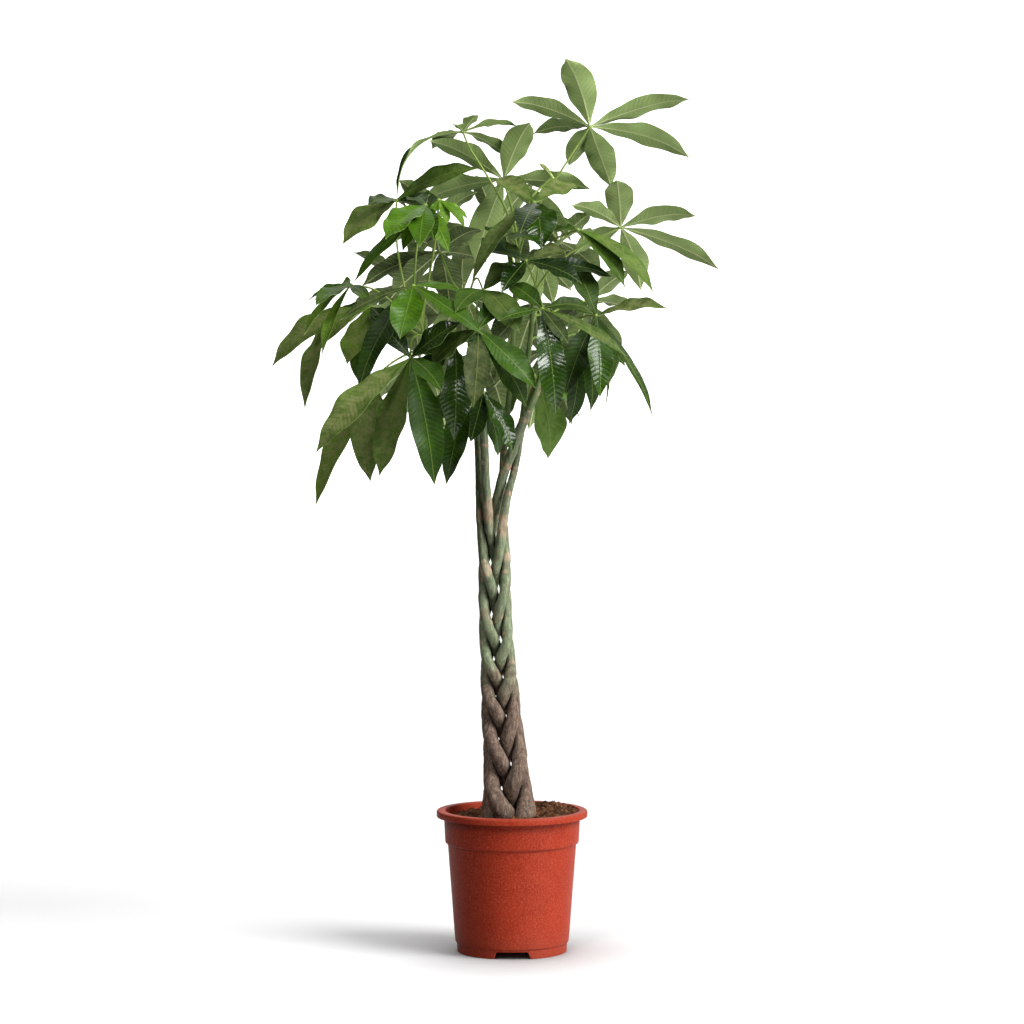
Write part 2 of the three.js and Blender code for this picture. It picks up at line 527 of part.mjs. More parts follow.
    blades: [[60, 60, -46, 35], [20, 90, -60, 37], [-50, 74, -50, 35], [44, -16, 40, 29],
      [-44, -10, 54, 29]] },
  { name: "leaf_37", shoot: "shoot_left", at: 0.86, hub: [-106, 50, 1012], up: [-0.1, 0.55, 0.84],
    stalk: [[-120, 22, 900], [-110, 44, 968]],
    blades: [[-84, 34, -40, 35], [-36, 80, -56, 37], [46, 74, -40, 35], [-50, -10, 56, 31],
      [56, 0, 40, 31]] },
  { name: "leaf_38", shoot: "shoot_back", at: 0.66, hub: [-50, 110, 830], up: [0, 0.62, 0.78],
    stalk: [[-58, 50, 854], [-54, 86, 846]],
    blades: [[-76, 50, -60, 36], [-24, 40, -124, 37, 0.1], [40, 60, -104, 36, 0.1], [64, 66, -10, 34]] },
];

// How full a leaflet is along its length: a slim root, widest past the middle, then drawn to a point
const fullness = (t) => Math.pow(Math.sin(Math.PI * Math.pow(t, BLADE_LEAN)), BLADE_FULLNESS);
const MIRRORED_SIDES = [1, 3]; // so that both faces of a waved blade are split alike

function bladeGeometry(leaf, blade, index, bend, grow) {
  const [dx, dy, dz, width, arch = BLADE_ARCH] = blade;
  const hub = vec(...leaf.hub);
  const reach = vec(dx, dy + bend, dz);
  const length = reach.length();
  const up = vec(...leaf.up);
  const outward = reach.clone().divideScalar(length);
  const lift = up.clone().addScaledVector(outward, -up.dot(outward)).normalize();
  const rings = BLADE_STOPS.map((stop, row) => {
    const t = Math.max(stop, ROOT_START / length);
    const rib = hub
      .clone()
      .addScaledVector(reach, t)
      .addScaledVector(lift, 4 * arch * length * t * (1 - t));
    const tangent = reach
      .clone()
      .addScaledVector(lift, 4 * arch * length * (1 - 2 * t))
      .normalize();
    const normal = lift.clone().addScaledVector(tangent, -lift.dot(tangent)).normalize();
    const side = normal.clone().cross(tangent);
    const half = Math.max((width / 2) * fullness(t), SLIM) + grow;
    const wave = (BLADE_WAVE * Math.sin(WAVE_PITCH * row + WAVE_START * index) * half * 2) / width;
    const edge = (sign) =>
      rib
        .clone()
        .addScaledVector(side, sign * half)
        .addScaledVector(normal, BLADE_FOLD * half + sign * wave);
    return [
      edge(1),
      rib.clone().addScaledVector(normal, BLADE_RISE + grow),
      edge(-1),
      rib.clone().addScaledVector(normal, -BLADE_KEEL - grow),
    ];
  });
  return loft(rings, MIRRORED_SIDES);
}

function pointOn(shoot, share) {
  const points = shoot.points.map((point) => vec(...point));
  return new THREE.CatmullRomCurve3(points, false, "centripetal").getPointAt(share);
}

// The stalk swells at its end into the small knob that the leaflets spring from
function stalkSolid(leaf) {
  const shoot = SHOOTS.find((one) => one.name === leaf.shoot);
  const hub = vec(...leaf.hub);
  const points = [pointOn(shoot, leaf.at), ...leaf.stalk.map((point) => vec(...point)), hub];
  const ahead = hub.clone().sub(points[points.length - 2]).normalize();
  hub.addScaledVector(ahead, HUB_RADIUS / 2);
  const radiusAt = (u) => lerp(PETIOLE_FOOT_RADIUS, PETIOLE_TIP_RADIUS, u);
  const rings = tubeRings(points, radiusAt, STALK_SIDES, STALK_STEPS);
  const knob = rings.pop().map((corner) => corner.sub(hub));
  const fit = HUB_RADIUS / knob[0].length();
  for (const [back, size] of [[HUB_RADIUS * NECK_LENGTH, NECK_RADIUS], [0, 1]]) {
    const middle = hub.clone().addScaledVector(ahead, -back);
    rings.push(knob.map((corner) => middle.clone().addScaledVector(corner, fit * size)));
  }
  return solid(loft(rings));
}

// Everything that stands is kept here, so that each later piece can be tried against what is there already.
const standing = [];
const boxesMeet = (a, b) => [0, 1, 2].every((k) => a.min[k] <= b.max[k] && b.min[k] <= a.max[k]);

function stand(owner, body) {
  standing.push({ owner, body, box: body.boundingBox() });
}

function crosses(body, owner) {
  const box = body.boundingBox();
  const near = standing.filter((other) => other.owner !== owner && boxesMeet(box, other.box));
  return near.find((other) => !body.intersect(other.body).isEmpty())?.owner;
}

// Soil: the filling of the pot up to a crumbly top, with a plain hole round each trunk
function soilTop(x, y) {
  const wave = ([share, right, back, start]) => share * Math.sin(right * x + back * y + start);
  const lumps = SOIL_WAVES.reduce((sum, one) => sum + wave(one), 0);
  const heap = SOIL_HEAP * Math.exp(-(x * x + y * y) / SOIL_HEAP_RADIUS ** 2);
  const tilt = (SOIL_RISE_RIGHT * x + SOIL_RISE_BACK * y) / SOIL_EDGE_RADIUS;
  return SOIL_LEVEL + tilt + heap + SOIL_LUMP * lumps;
}

function soilSolid() {
  const inset = WALL + GAP + 0.1;
  const profile = [
    [0, FLOOR_Z + GAP],
    [BODY_FOOT_RADIUS - WALL - 5, FLOOR_Z + GAP],
    [BODY_FOOT_RADIUS - inset, FLOOR_Z + 8],
    [BODY_TOP_RADIUS - inset, STEP_Z - 1],
    [BAND_FOOT_RADIUS - inset, STEP_Z + 4.6],
    [BAND_TOP_RADIUS - inset - 0.5, POT_HEIGHT - 18],
  ].map(([radius, z]) => new THREE.Vector2(radius, z));
  const topStart = profile.length;
  for (let ring = SOIL_RINGS; ring >= 0; ring--)
    profile.push(new THREE.Vector2((SOIL_EDGE_RADIUS * ring) / SOIL_RINGS, SOIL_LEVEL));
  const geometry = turned(profile, POT_SEGMENTS);
  const spots = geometry.attributes.position;
  for (let i = 0; i < spots.count; i++)
    if (i % profile.length >= topStart) spots.setZ(i, soilTop(spots.getX(i), spots.getY(i)));
  return solid(geometry);
}

place("pot", geometryOf(pot), terracotta);
stand("pot", pot);

let soil = soilSolid();
for (const trunk of TRUNKS) {
  const body = trunkSolid(trunk, 0);
  soil = soil.subtract(trunkSolid(trunk, GAP));
  place(trunk.name, geometryOf(body), bark);
  stand(trunk.name, body);
}
place("soil", geometryOf(soil), peat);
stand("soil", soil);

for (const shoot of SHOOTS) {
  const seat = TRUNKS.find((trunk) => trunk.name === shoot.from);
  const body = shootSolid(shoot, 0).subtract(trunkSolid(seat, GAP));
  place(shoot.name, geometryOf(body), greenShoot);
  stand(shoot.name, body);
}

const stalks = new Map();
for (const leaf of LEAVES) {
  const shoot = SHOOTS.find((one) => one.name === leaf.shoot);
  const body = stalkSolid(leaf).subtract(shootSolid(shoot, GAP));
  const crossed = crosses(body, leaf.name);
  if (crossed) throw new Error(`the stalk of ${leaf.name} crosses ${crossed}`);
  stalks.set(leaf.name, body);
  stand(leaf.name, body);
}

// A leaflet that would cross something is bent to the front or the back, as little as clears it
const BENDS = [0, 9, -9, 18, -18, 28, -28, 40, -40, 54, -54, 70, -70];

for (const leaf of LEAVES) {
  const pieces = [stalks.get(leaf.name)];
  leaf.blades.forEach((blade, index) => {
    const bent = (bend, grow) => solid(bladeGeometry(leaf, blade, index, bend, grow));
    const clear = BENDS.find((bend) => !crosses(bent(bend, GAP), leaf.name));
    if (clear === undefined) throw new Error(`leaflet ${index} of ${leaf.name} finds no clear place`);
    const body = bent(clear, 0);
    pieces.push(body);
    stand(leaf.name, body);
  });
  place(leaf.name, geometryOf(join(pieces)), leafGreen);
}

plant.position.x = AXIS_X;

export default plant;
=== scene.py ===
# %% [markdown]
# # A potted money tree
#
# Five young trunks are planted together and braided by hand. They stand in peat in a plastic grower's
# pot. A green leader grows from the top of each trunk, and long stalks on the leaders carry leaves that
# look like open hands, with three to seven leaflets each.
#
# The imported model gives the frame: every piece below but the loose crumbs takes the place of one of its
# nodes and follows the same middle lines, so that the dressed plant fits the plain one. What is added is
# what a plain solid can't carry: bark, leaf scars, veins, waved edges, crumbs of peat and the grain of
# moulded plastic.
#
# Shapes are worked out in millimetres from the pot's axis, and go into Blender in metres.

# %% Frame and units
import math
from collections import namedtuple

import bmesh
import bpy
import numpy as np
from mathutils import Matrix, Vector
from mathutils.bvhtree import BVHTree


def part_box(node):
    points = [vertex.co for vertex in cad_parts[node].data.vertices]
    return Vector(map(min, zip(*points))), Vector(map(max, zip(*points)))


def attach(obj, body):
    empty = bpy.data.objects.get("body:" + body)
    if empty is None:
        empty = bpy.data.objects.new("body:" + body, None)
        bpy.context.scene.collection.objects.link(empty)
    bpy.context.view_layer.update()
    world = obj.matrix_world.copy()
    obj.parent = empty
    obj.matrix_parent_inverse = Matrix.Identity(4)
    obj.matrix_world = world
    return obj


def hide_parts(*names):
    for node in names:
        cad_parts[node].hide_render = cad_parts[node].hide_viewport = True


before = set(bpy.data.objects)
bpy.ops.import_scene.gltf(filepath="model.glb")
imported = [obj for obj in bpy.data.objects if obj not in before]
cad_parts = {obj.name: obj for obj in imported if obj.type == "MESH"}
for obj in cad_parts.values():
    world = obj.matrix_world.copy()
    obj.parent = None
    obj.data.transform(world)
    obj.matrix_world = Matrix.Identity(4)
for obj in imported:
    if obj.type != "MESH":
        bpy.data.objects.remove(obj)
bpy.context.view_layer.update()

MM = 0.001
pot_low, pot_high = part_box("pot")
POT_AXIS = np.array([(pot_low.x + pot_high.x) / 2, (pot_low.y + pot_high.y) / 2, 0])
POT_HEIGHT = pot_high.z / MM
RIM_RADIUS = (pot_high.x - pot_low.x) / 2 / MM
print(f"The pot is {POT_HEIGHT:.0f} mm high and {2 * RIM_RADIUS:.0f} mm wide at the rim, "
      f"and its axis stands at x = {POT_AXIS[0] * 1000:.0f} mm.")

# %% [markdown]
# ## Skins
#
# Nearly everything here is a row of rings with a skin over it: a pot is a stack of circles, a trunk is
# rings carried along a path, and a leaflet is a row of very flat rings. One function can therefore close
# them all. Writing the faces as arrays keeps it quick, and the same corner order all over keeps every
# face pointing outwards.

# %% Closed skins and meshes
def smooth(values, start, stop):
    """0 before start, 1 after stop, and an S-shaped rise between them: 3 s^2 - 2 s^3."""
    share = np.clip((values - start) / (stop - start), 0, 1)
    return share * share * (3 - 2 * share)


def unit(vectors):
    """Each vector divided by its own length."""
    return vectors / np.linalg.norm(vectors, axis=-1, keepdims=True)


def closed_skin(rings):
    """Points, quads and triangles of a closed skin over rings, an array of rings x corners x 3.

    Each quad joins two neighbouring corners of a ring to the same two of the next. A fan of triangles
    to the mean of the first ring, and one to the mean of the last, close the ends.
    """
    count, around = rings.shape[:2]
    points = np.vstack([rings.reshape(-1, 3), rings[[0, -1]].mean(axis=1)])
    row, column = np.mgrid[0:count - 1, 0:around]
    beside = (column + 1) % around
    quads = np.stack([row * around + column, row * around + beside,
                      (row + 1) * around + beside, (row + 1) * around + column], axis=-1).reshape(-1, 4)
    first, last = np.arange(around), np.arange(around) + (count - 1) * around
    triangles = np.vstack([
        np.stack([np.full(around, count * around), np.roll(first, -1), first], axis=-1),
        np.stack([np.full(around, count * around + 1), last, np.roll(last, -1)], axis=-1)])
    return points, quads, triangles


def join_skins(skins):
    """Several skins as one: the corner numbers of each are raised by the points before it."""
    points, quads, triangles, before = [], [], [], 0
    for skin in skins:
        points.append(skin[0])
        quads.append(skin[1] + before)
        triangles.append(skin[2] + before)
        before += len(skin[0])
    return np.vstack(points), np.vstack(quads), np.vstack(triangles)


# %% From a skin to a piece
def make_piece(name, skin, finishes, stands_for=(), face_finish=None, values=None, uv=None):
    """Puts a skin into a mesh. values holds named arrays with one number or four for each point."""
    points, quads, triangles = skin
    corners = np.concatenate([quads.ravel(), triangles.ravel()])
    starts = np.concatenate([4 * np.arange(len(quads)), 4 * len(quads) + 3 * np.arange(len(triangles))])
    mesh = bpy.data.meshes.new(name)
    mesh.vertices.add(len(points))
    mesh.loops.add(len(corners))
    mesh.polygons.add(len(starts))
    mesh.vertices.foreach_set("co", (points * MM + POT_AXIS).ravel())
    mesh.loops.foreach_set("vertex_index", corners)
    mesh.polygons.foreach_set("loop_start", starts)
    for finish in finishes:
        mesh.materials.append(finish)
    if face_finish is not None:
        mesh.polygons.foreach_set("material_index", face_finish)
    mesh.update(calc_edges=True)
    mesh.shade_smooth()
    if uv is not None:
        mesh.uv_layers.new(name="blade").data.foreach_set("uv", uv[corners].ravel())
    for label, array in (values or {}).items():
        kind, channel = ("FLOAT", "value") if array.ndim == 1 else ("FLOAT_COLOR", "color")
        mesh.attributes.new(label, kind, "POINT").data.foreach_set(channel, array.ravel())
    piece = bpy.data.objects.new(name, mesh)
    bpy.context.scene.collection.objects.link(piece)
    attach(piece, "root")
    if stands_for:
        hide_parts(*stands_for)
    return piece


# %% [markdown]
# ## Paths and tubes
#
# Trunks, leaders and stalks are tubes along a smooth path. A Catmull-Rom spline is the natural choice,
# because it passes through every point that is given, and the same spline made the plain solids. The ring
# at each point needs two directions square to the path. They come from one fixed direction with its part
# along the path taken out, which never twists as long as the path doesn't turn into that direction.

# %% Paths and tubes
FINE_STEPS = 24  # points on each stretch of a spline, before they are spaced evenly
DOME_FLATNESS, LEAST_RADIUS = 0.6, 0.05


def distances(path):
    """How far along the path each of its points lies."""
    return np.concatenate([[0], np.cumsum(np.linalg.norm(np.diff(path, axis=0), axis=1))])


def smooth_path(stops, count):
    """count points, evenly spaced along a centripetal Catmull-Rom spline through the stops.

    Each stretch is a cubic from one stop to the next. Its slopes there weigh the neighbouring stops by
    the square roots of the distances between them.
    """
    stops = np.asarray(stops, dtype=float)
    padded = np.vstack([2 * stops[0] - stops[1], stops, 2 * stops[-1] - stops[-2]])
    gaps = np.sqrt(np.linalg.norm(np.diff(padded, axis=0), axis=1))[:, None]
    before, here, after, beyond = padded[:-3], padded[1:-2], padded[2:-1], padded[3:]
    early, middle, late = gaps[:-2], gaps[1:-1], gaps[2:]
    leaving = middle * ((here - before) / early - (after - before) / (early + middle)
                        + (after - here) / middle)
    coming = middle * ((after - here) / middle - (beyond - here) / (middle + late)
                       + (beyond - after) / late)
    share = np.linspace(0, 1, FINE_STEPS, endpoint=False)[None, :, None]
    here, after, leaving, coming = (part[:, None, :] for part in (here, after, leaving, coming))
    fine = (here + leaving * share + (3 * after - 3 * here - 2 * leaving - coming) * share ** 2
            + (2 * here - 2 * after + leaving + coming) * share ** 3)
    fine = np.vstack([fine.reshape(-1, 3), stops[-1]])
    travelled = distances(fine)
    wanted = np.linspace(0, travelled[-1], count)
    return np.stack([np.interp(wanted, travelled, fine[:, axis]) for axis in range(3)], axis=1)


def tube_rings(path, radii, around):
    """Rings of radius radii about each point of the path, counter-clockwise about its direction.

    radii holds one radius for each point, or one for each point and corner.
    """
    tangent = unit(np.gradient(path, axis=0))
    steady = np.eye(3)[np.argmin(np.abs(tangent).max(axis=0))]
    first = unit(steady - tangent * (tangent @ steady)[:, None])
    second = np.cross(tangent, first)
    turn = 2 * np.pi * np.arange(around) / around
    outward = np.cos(turn)[None, :, None] * first[:, None] + np.sin(turn)[None, :, None] * second[:, None]
    radii = np.broadcast_to(radii.reshape(len(path), -1), (len(path), around))
    return path[:, None] + radii[..., None] * outward


def domed(path, radii, steps=4):
    """The same path and radii with a rounded end: the last radius shrinks as a flattened quarter circle."""
    ahead = unit(path[-1] - path[-2])
    turn = np.linspace(0, np.pi / 2, steps + 1)[1:]
    reach = radii[-1] * np.sin(turn)[:, None] * ahead
    return (np.vstack([path, path[-1] + DOME_FLATNESS * reach]),
            np.concatenate([radii, radii[-1] * np.cos(turn) + LEAST_RADIUS]))


# %% [markdown]
# ## Lumps
#
# Bark and peat are uneven at several sizes at once. A sum of a few dozen plain waves in random directions
# does it, and costs one matrix product. The random draw has a fixed seed, so the plant is the same each
# time the script runs.

# %% Lumps
def lumps(points, size, seed, waves=28):
    """A smooth random value near -1 to 1 at each point, whose bumps are about size wide.

    It is the sum of waves sin(k . p + phase). The directions of k are random, and its length is
    2 pi / size, give or take a third. The sum is divided so that little of it passes 1.
    """
    draw = np.random.default_rng(seed)
    direction = unit(draw.normal(size=(waves, 3)))
    pitch = 2 * np.pi / size * draw.uniform(0.7, 1.35, waves)
    phase = draw.uniform(0, 2 * np.pi, waves)
    return np.sin(points @ (direction * pitch[:, None]).T + phase).sum(axis=-1) * math.sqrt(2 / waves) / 1.6


# %% [markdown]
# ## Finishes
#
# Every finish is a small tree of nodes round one Principled shader. A helper keeps the trees short: it
# adds a node, feeds its sockets with numbers or with other nodes, and hands back the result. Patterns read
# Object coordinates, so they stay fixed to the plant, or the leaflets' own UV map, which runs across and
# along each blade in centimetres.

# %% A helper for finishes
class Finish:
    """A material with one Principled shader. Its methods add a node each and return what it gives."""

    def __init__(self, name, **plain):
        self.material = bpy.data.materials.new(name)
        self.material.use_nodes = True
        self.tree = self.material.node_tree
        self.shader = self.tree.nodes["Principled BSDF"]
        self.feed_all(self.shader, plain)

    def feed(self, socket, value):
        if isinstance(value, bpy.types.NodeSocket):
            self.tree.links.new(value, socket)
        elif socket.type == "RGBA" and len(value) == 3:
            socket.default_value = (*value, 1)
        else:
            socket.default_value = value

    def feed_all(self, made, values):
        """Feeds a node's sockets. Each is given by its number, or by its name with _ for blanks."""
        for label, value in values.items():
            self.feed(made.inputs[label.replace("_", " ") if isinstance(label, str) else label], value)

    def node(self, kind, result=0, settings=(), numbered=(), **named):
        """Adds a node and returns one of its outputs, or all of them if result is None."""
        made = self.tree.nodes.new(kind)
        for label, value in dict(settings).items():
            setattr(made, label, value)
        self.feed_all(made, {**dict(numbered), **named})
        return made.outputs if result is None else made.outputs[result]

    def object_place(self):
        return self.node("ShaderNodeTexCoord", "Object")

    def height(self, place):
        """The height of a place above the floor, in metres."""
        return self.node("ShaderNodeSeparateXYZ", "Z", Vector=place)

    def carried(self, name):
        """A number that the points carry as an attribute."""
        return self.node("ShaderNodeAttribute", "Fac", {"attribute_name": name})

    def stretched(self, place, upright):
        """Longer or shorter patterns: below 1, upright draws them out along the trunks."""
        return self.node("ShaderNodeMapping", Vector=place, Scale=(1, 1, upright))

    def maths(self, operation, *values):
        """One step of arithmetic. MULTIPLY_ADD is the first times the second plus the third."""
        return self.node("ShaderNodeMath", 0, {"operation": operation}, enumerate(values))

    def times(self, one, other):
        return self.maths("MULTIPLY", one, other)

    def noise(self, place, scale, detail=3.0, roughness=0.5):
        return self.node("ShaderNodeTexNoise", "Fac", Vector=place, Scale=scale, Detail=detail,
                         Roughness=roughness)

    def cells(self, place, scale, feature="F1"):
        return self.node("ShaderNodeTexVoronoi", "Distance", {"feature": feature}, Vector=place, Scale=scale)

    def rise(self, value, start, stop, high=1.0, low=0.0):
        """low at start, high at stop, smooth between them, and start may be the larger."""
        return self.node("ShaderNodeMapRange", "Result", {"interpolation_type": "SMOOTHSTEP"}, Value=value,
                         From_Min=start, From_Max=stop, To_Min=low, To_Max=high)

    def spread(self, value, low, high, whole=1.0):
        """low at 0, high at whole, straight between them."""
        return self.node("ShaderNodeMapRange", "Result", Value=value, From_Max=whole, To_Min=low,
                         To_Max=high)

    def blend(self, share, plain, other, kind="MIX"):
        """plain where share is 0, and other, or its product with plain, where it is 1."""
        return self.node("ShaderNodeMix", 2, {"data_type": "RGBA", "blend_type": kind},
                         {0: share, 6: plain, 7: other})

    def layered(self, colour, *layers):
        """Colours laid on each other: each layer is where it shows, 0 to 1, and its colour."""
        for share, tint in layers:
            colour = self.blend(share, colour, tint)
        return colour

    def colours(self, value, *stops):
        """A colour ramp: stops are (place, colour) pairs."""
        made = self.tree.nodes.new("ShaderNodeValToRGB")
        ramp = made.color_ramp
        while len(ramp.elements) < len(stops):
            ramp.elements.new(0.5)
        for element, (place, colour) in zip(ramp.elements, stops):
            element.position = place
            element.color = (*colour, 1)
        self.feed(made.inputs[0], value)
        return made.outputs[0]

    def relief(self, *layers):
        """Bumps laid on each other, on skin and coat: a layer is a height, 0 to 1, and its depth in mm."""
        below = {}
        for height, depth in layers:
            below = {"Normal": self.node("ShaderNodeBump", Height=height, Distance=depth * MM, **below)}
        self.feed_all(self.shader, {**below, "Coat Normal": below["Normal"]})

    def done(self, **results):
        self.feed_all(self.shader, results)
        print(f"{self.material.name}: {len(self.tree.nodes)} nodes")
        return self.material


# %% [markdown]
# ## Pot
#
# A grower's pot is one thin moulding, blown into a mould in a few seconds. Its rim is rolled over to make
# it stiff, a band under the rim steps in to the tapering body, and the foot ring has three low cut-outs
# that let water out from under it. A profile turned about the axis gives all of that but the cut-outs. They
# need no cutting: where the angle lies in a cut-out, the foot's lower edge is simply lifted.
#
# The plastic is coloured all through, with a satin skin and a very fine grain from the mould. Dust and
# splashes from watering dull it near the foot, and the top of the rolled rim is a little paler.

# %% Pot finish
# the last two heights bound the paler top of the rolled rim
DUST_TOP, PALE_RIM_FOOT, PALE_RIM_TOP = 0.05, 0.190, 0.1955  # heights in metres


def pot_finish():
    """Clouds and grain in the plastic, then dust towards the foot and a paler top of the rim, by height."""
    finish = Finish("terracotta_plastic", Specular_IOR_Level=0.16, Sheen_Weight=0.03, Sheen_Roughness=0.4)
    place = finish.object_place()
    height = finish.height(place)
    cloud = finish.noise(place, 22, 4, 0.6)
    grain = finish.noise(place, 560, 2, 0.7)
    speck = finish.cells(place, 420)
    colour = finish.layered(
        (0.33, 0.024, 0.0075),
        (finish.rise(cloud, 0.3, 0.7), (0.395, 0.032, 0.011)),
        (finish.rise(grain, 0.42, 0.68), (0.51, 0.072, 0.030)),
        (finish.rise(height, DUST_TOP, 0, 0.35), (0.30, 0.055, 0.028)),
        # the top of the rolled rim a little paler
        (finish.rise(height, PALE_RIM_FOOT, PALE_RIM_TOP, 0.25), (0.46, 0.085, 0.045)))
    finish.relief((grain, 0.22), (speck, 0.10), (cloud, 0.25))
    return finish.done(Base_Color=colour, Roughness=finish.spread(cloud, 0.45, 0.6))


terracotta = pot_finish()

# %% Pot profile
STEP_Z = 151
BAND_TOP_RADIUS, BAND_FOOT_RADIUS = 94.5, 92.6
BODY_TOP_RADIUS, BODY_FOOT_RADIUS = 89, 79
FOOT_RADIUS, FOOT_INNER_RADIUS, FOOT_HEIGHT = 76, 70, 12
LIP_HEIGHT, WALL, FLOOR_Z = 9, 1.8, 17
NOTCHES, NOTCH_HEIGHT, NOTCH_TOP_WIDTH, NOTCH_FOOT_WIDTH = 3, 10, 44, 51
ROUNDED_AT_MOST, LONGEST_STRETCH = 0.48, 8  # a share of a profile's stretch, and millimetres

# Each corner of the profile: radius, height and how far it is rounded
POT_CORNERS = [
    (2, FLOOR_Z - WALL, 0.1),
    (FOOT_INNER_RADIUS - 2, FLOOR_Z - WALL, 1.5),
    (FOOT_INNER_RADIUS, FOOT_HEIGHT, 1),
    (FOOT_INNER_RADIUS, 0, 0.6),
    (FOOT_RADIUS, 0, 0.8),
    (FOOT_RADIUS + 0.3, FOOT_HEIGHT, 0.5),
    (BODY_FOOT_RADIUS - 0.9, FOOT_HEIGHT + 1.2, 1.2),
    (BODY_FOOT_RADIUS, FOOT_HEIGHT + 5, 3),
    (BODY_TOP_RADIUS, STEP_Z - 1, 0.8),
    (BAND_FOOT_RADIUS - 0.6, STEP_Z, 0.4),
    (BAND_FOOT_RADIUS, STEP_Z + 2, 1.2),
    (BAND_TOP_RADIUS, POT_HEIGHT - WALL - 0.8, 0.5),
    (RIM_RADIUS - WALL, POT_HEIGHT - WALL - 0.8, 1),
    (RIM_RADIUS - WALL, POT_HEIGHT - LIP_HEIGHT, 0.5),
    (RIM_RADIUS, POT_HEIGHT - LIP_HEIGHT, 0.8),
    (RIM_RADIUS, POT_HEIGHT, 3.2),
    (BAND_TOP_RADIUS - WALL, POT_HEIGHT, 2),
    (BAND_FOOT_RADIUS - WALL, STEP_Z + 3, 1),
    (BODY_TOP_RADIUS - WALL, STEP_Z - 1, 1),
    (BODY_FOOT_RADIUS - WALL, FLOOR_Z, 4),
    (2, FLOOR_Z, 0.1),
]


def rounded_profile(corners, steps=5):
    """The profile with each corner cut back by its rounding and bridged by a quadratic curve.

    The curve is (1 - s)^2 a + 2 s (1 - s) corner + s^2 b, from a before the corner to b after it. Long
    straight stretches get points of their own, so that the skin has no long thin faces.
    """
    spots = np.array(corners, dtype=float)
    middle, rounding = spots[:, :2], spots[:, 2:]
    start, stop = (
        middle + towards * np.minimum(
            rounding / np.maximum(np.linalg.norm(towards, axis=1, keepdims=True), 1e-6), ROUNDED_AT_MOST)
        for towards in (np.vstack([middle[:1], middle[:-1]]) - middle,
                        np.vstack([middle[1:], middle[-1:]]) - middle))
    share = np.linspace(0, 1, steps)[None, :, None]
    arcs = ((1 - share) ** 2 * start[:, None] + 2 * share * (1 - share) * middle[:, None]
            + share ** 2 * stop[:, None]).reshape(-1, 2)
    pieces = np.maximum(1, (np.linalg.norm(np.diff(arcs, axis=0), axis=1) / LONGEST_STRETCH).astype(int))
    places = np.concatenate([i + np.arange(n) / n for i, n in enumerate(pieces)] + [[len(arcs) - 1]])
    return np.stack([np.interp(places, np.arange(len(arcs)), arcs[:, axis]) for axis in (0, 1)], axis=1)


# %% Pot shape
POT_SEGMENTS = 240


def turned(profile, segments):
    """Rings about the upright axis: a ring of the given radius at each height of the profile."""
    turn = 2 * np.pi * np.arange(segments) / segments
    radius, height = profile[:, 0, None], profile[:, 1, None]
    return np.stack([radius * np.cos(turn), radius * np.sin(turn), height + 0 * turn], axis=-1)


def lift_notches(rings):
    """Raises the foot ring's lower edge inside the cut-outs.

    The distance from the middle of the nearest cut-out, measured round the ring, sets the height: full
    inside the width at the top, falling in a straight line to nothing at the width at the foot.
    """
    turn = np.arctan2(rings[..., 1], rings[..., 0]) + np.pi / 2
    pitch = 2 * np.pi / NOTCHES
    off_middle = np.abs((turn + pitch / 2) % pitch - pitch / 2) * (FOOT_RADIUS + FOOT_INNER_RADIUS) / 2
    share = np.clip((NOTCH_FOOT_WIDTH / 2 - off_middle) / (NOTCH_FOOT_WIDTH - NOTCH_TOP_WIDTH) * 2, 0, 1)
    rings[..., 2] = np.maximum(rings[..., 2], NOTCH_HEIGHT * share)
    return rings


pot_rings = lift_notches(turned(rounded_profile(POT_CORNERS), POT_SEGMENTS))
pot = make_piece("moulded_pot", closed_skin(pot_rings), [terracotta], ["pot"])

# %% Drain holes
# The holes in the pot's floor are cut by a Boolean with one mesh of plugs.
DRAIN_HOLES, DRAIN_RADIUS, DRAIN_CIRCLE = 6, 5.0, 52
PLUG_REACH, PLUG_SIDES = 6, 24


def drill_floor(piece):
    """Takes upright plugs on a circle out of the floor."""
    plugs = []
    for turn in (np.arange(DRAIN_HOLES) + 0.5) * 2 * np.pi / DRAIN_HOLES:
        x, y = DRAIN_CIRCLE * np.cos(turn), DRAIN_CIRCLE * np.sin(turn)
        upright = np.array([(x, y, FLOOR_Z - PLUG_REACH), (x, y, FLOOR_Z + PLUG_REACH)])
        plugs.append(closed_skin(tube_rings(upright, np.full(2, DRAIN_RADIUS), PLUG_SIDES)))
    cutter = make_piece("drain_plugs", join_skins(plugs), [terracotta])
    cut = piece.modifiers.new("drain_holes", "BOOLEAN")
    cut.operation = "DIFFERENCE"
    cut.object = cutter
    piece.data = bpy.data.meshes.new_from_object(
        piece.evaluated_get(bpy.context.evaluated_depsgraph_get()))
    piece.modifiers.clear()
    bpy.data.objects.remove(cutter)
    return len(piece.data.polygons)


print(f"Pot with its drain holes: {drill_floor(pot)} faces")
pot.data.set_sharp_from_angle(angle=math.radians(40))

# %% [markdown]
# ## Peat
#
# Nursery peat is dark brown and crumbly, with paler fibres. It was pressed in round the trunks, so it heaps
# a little at the middle, and it lies higher at the right and at the back. The top is a grid of rings with
# lumps of two sizes, and under it the filling follows the inside of the pot. Loose crumbs lie on it: one
# icosahedron, squeezed and turned at random fifteen hundred times, and half sunk in.

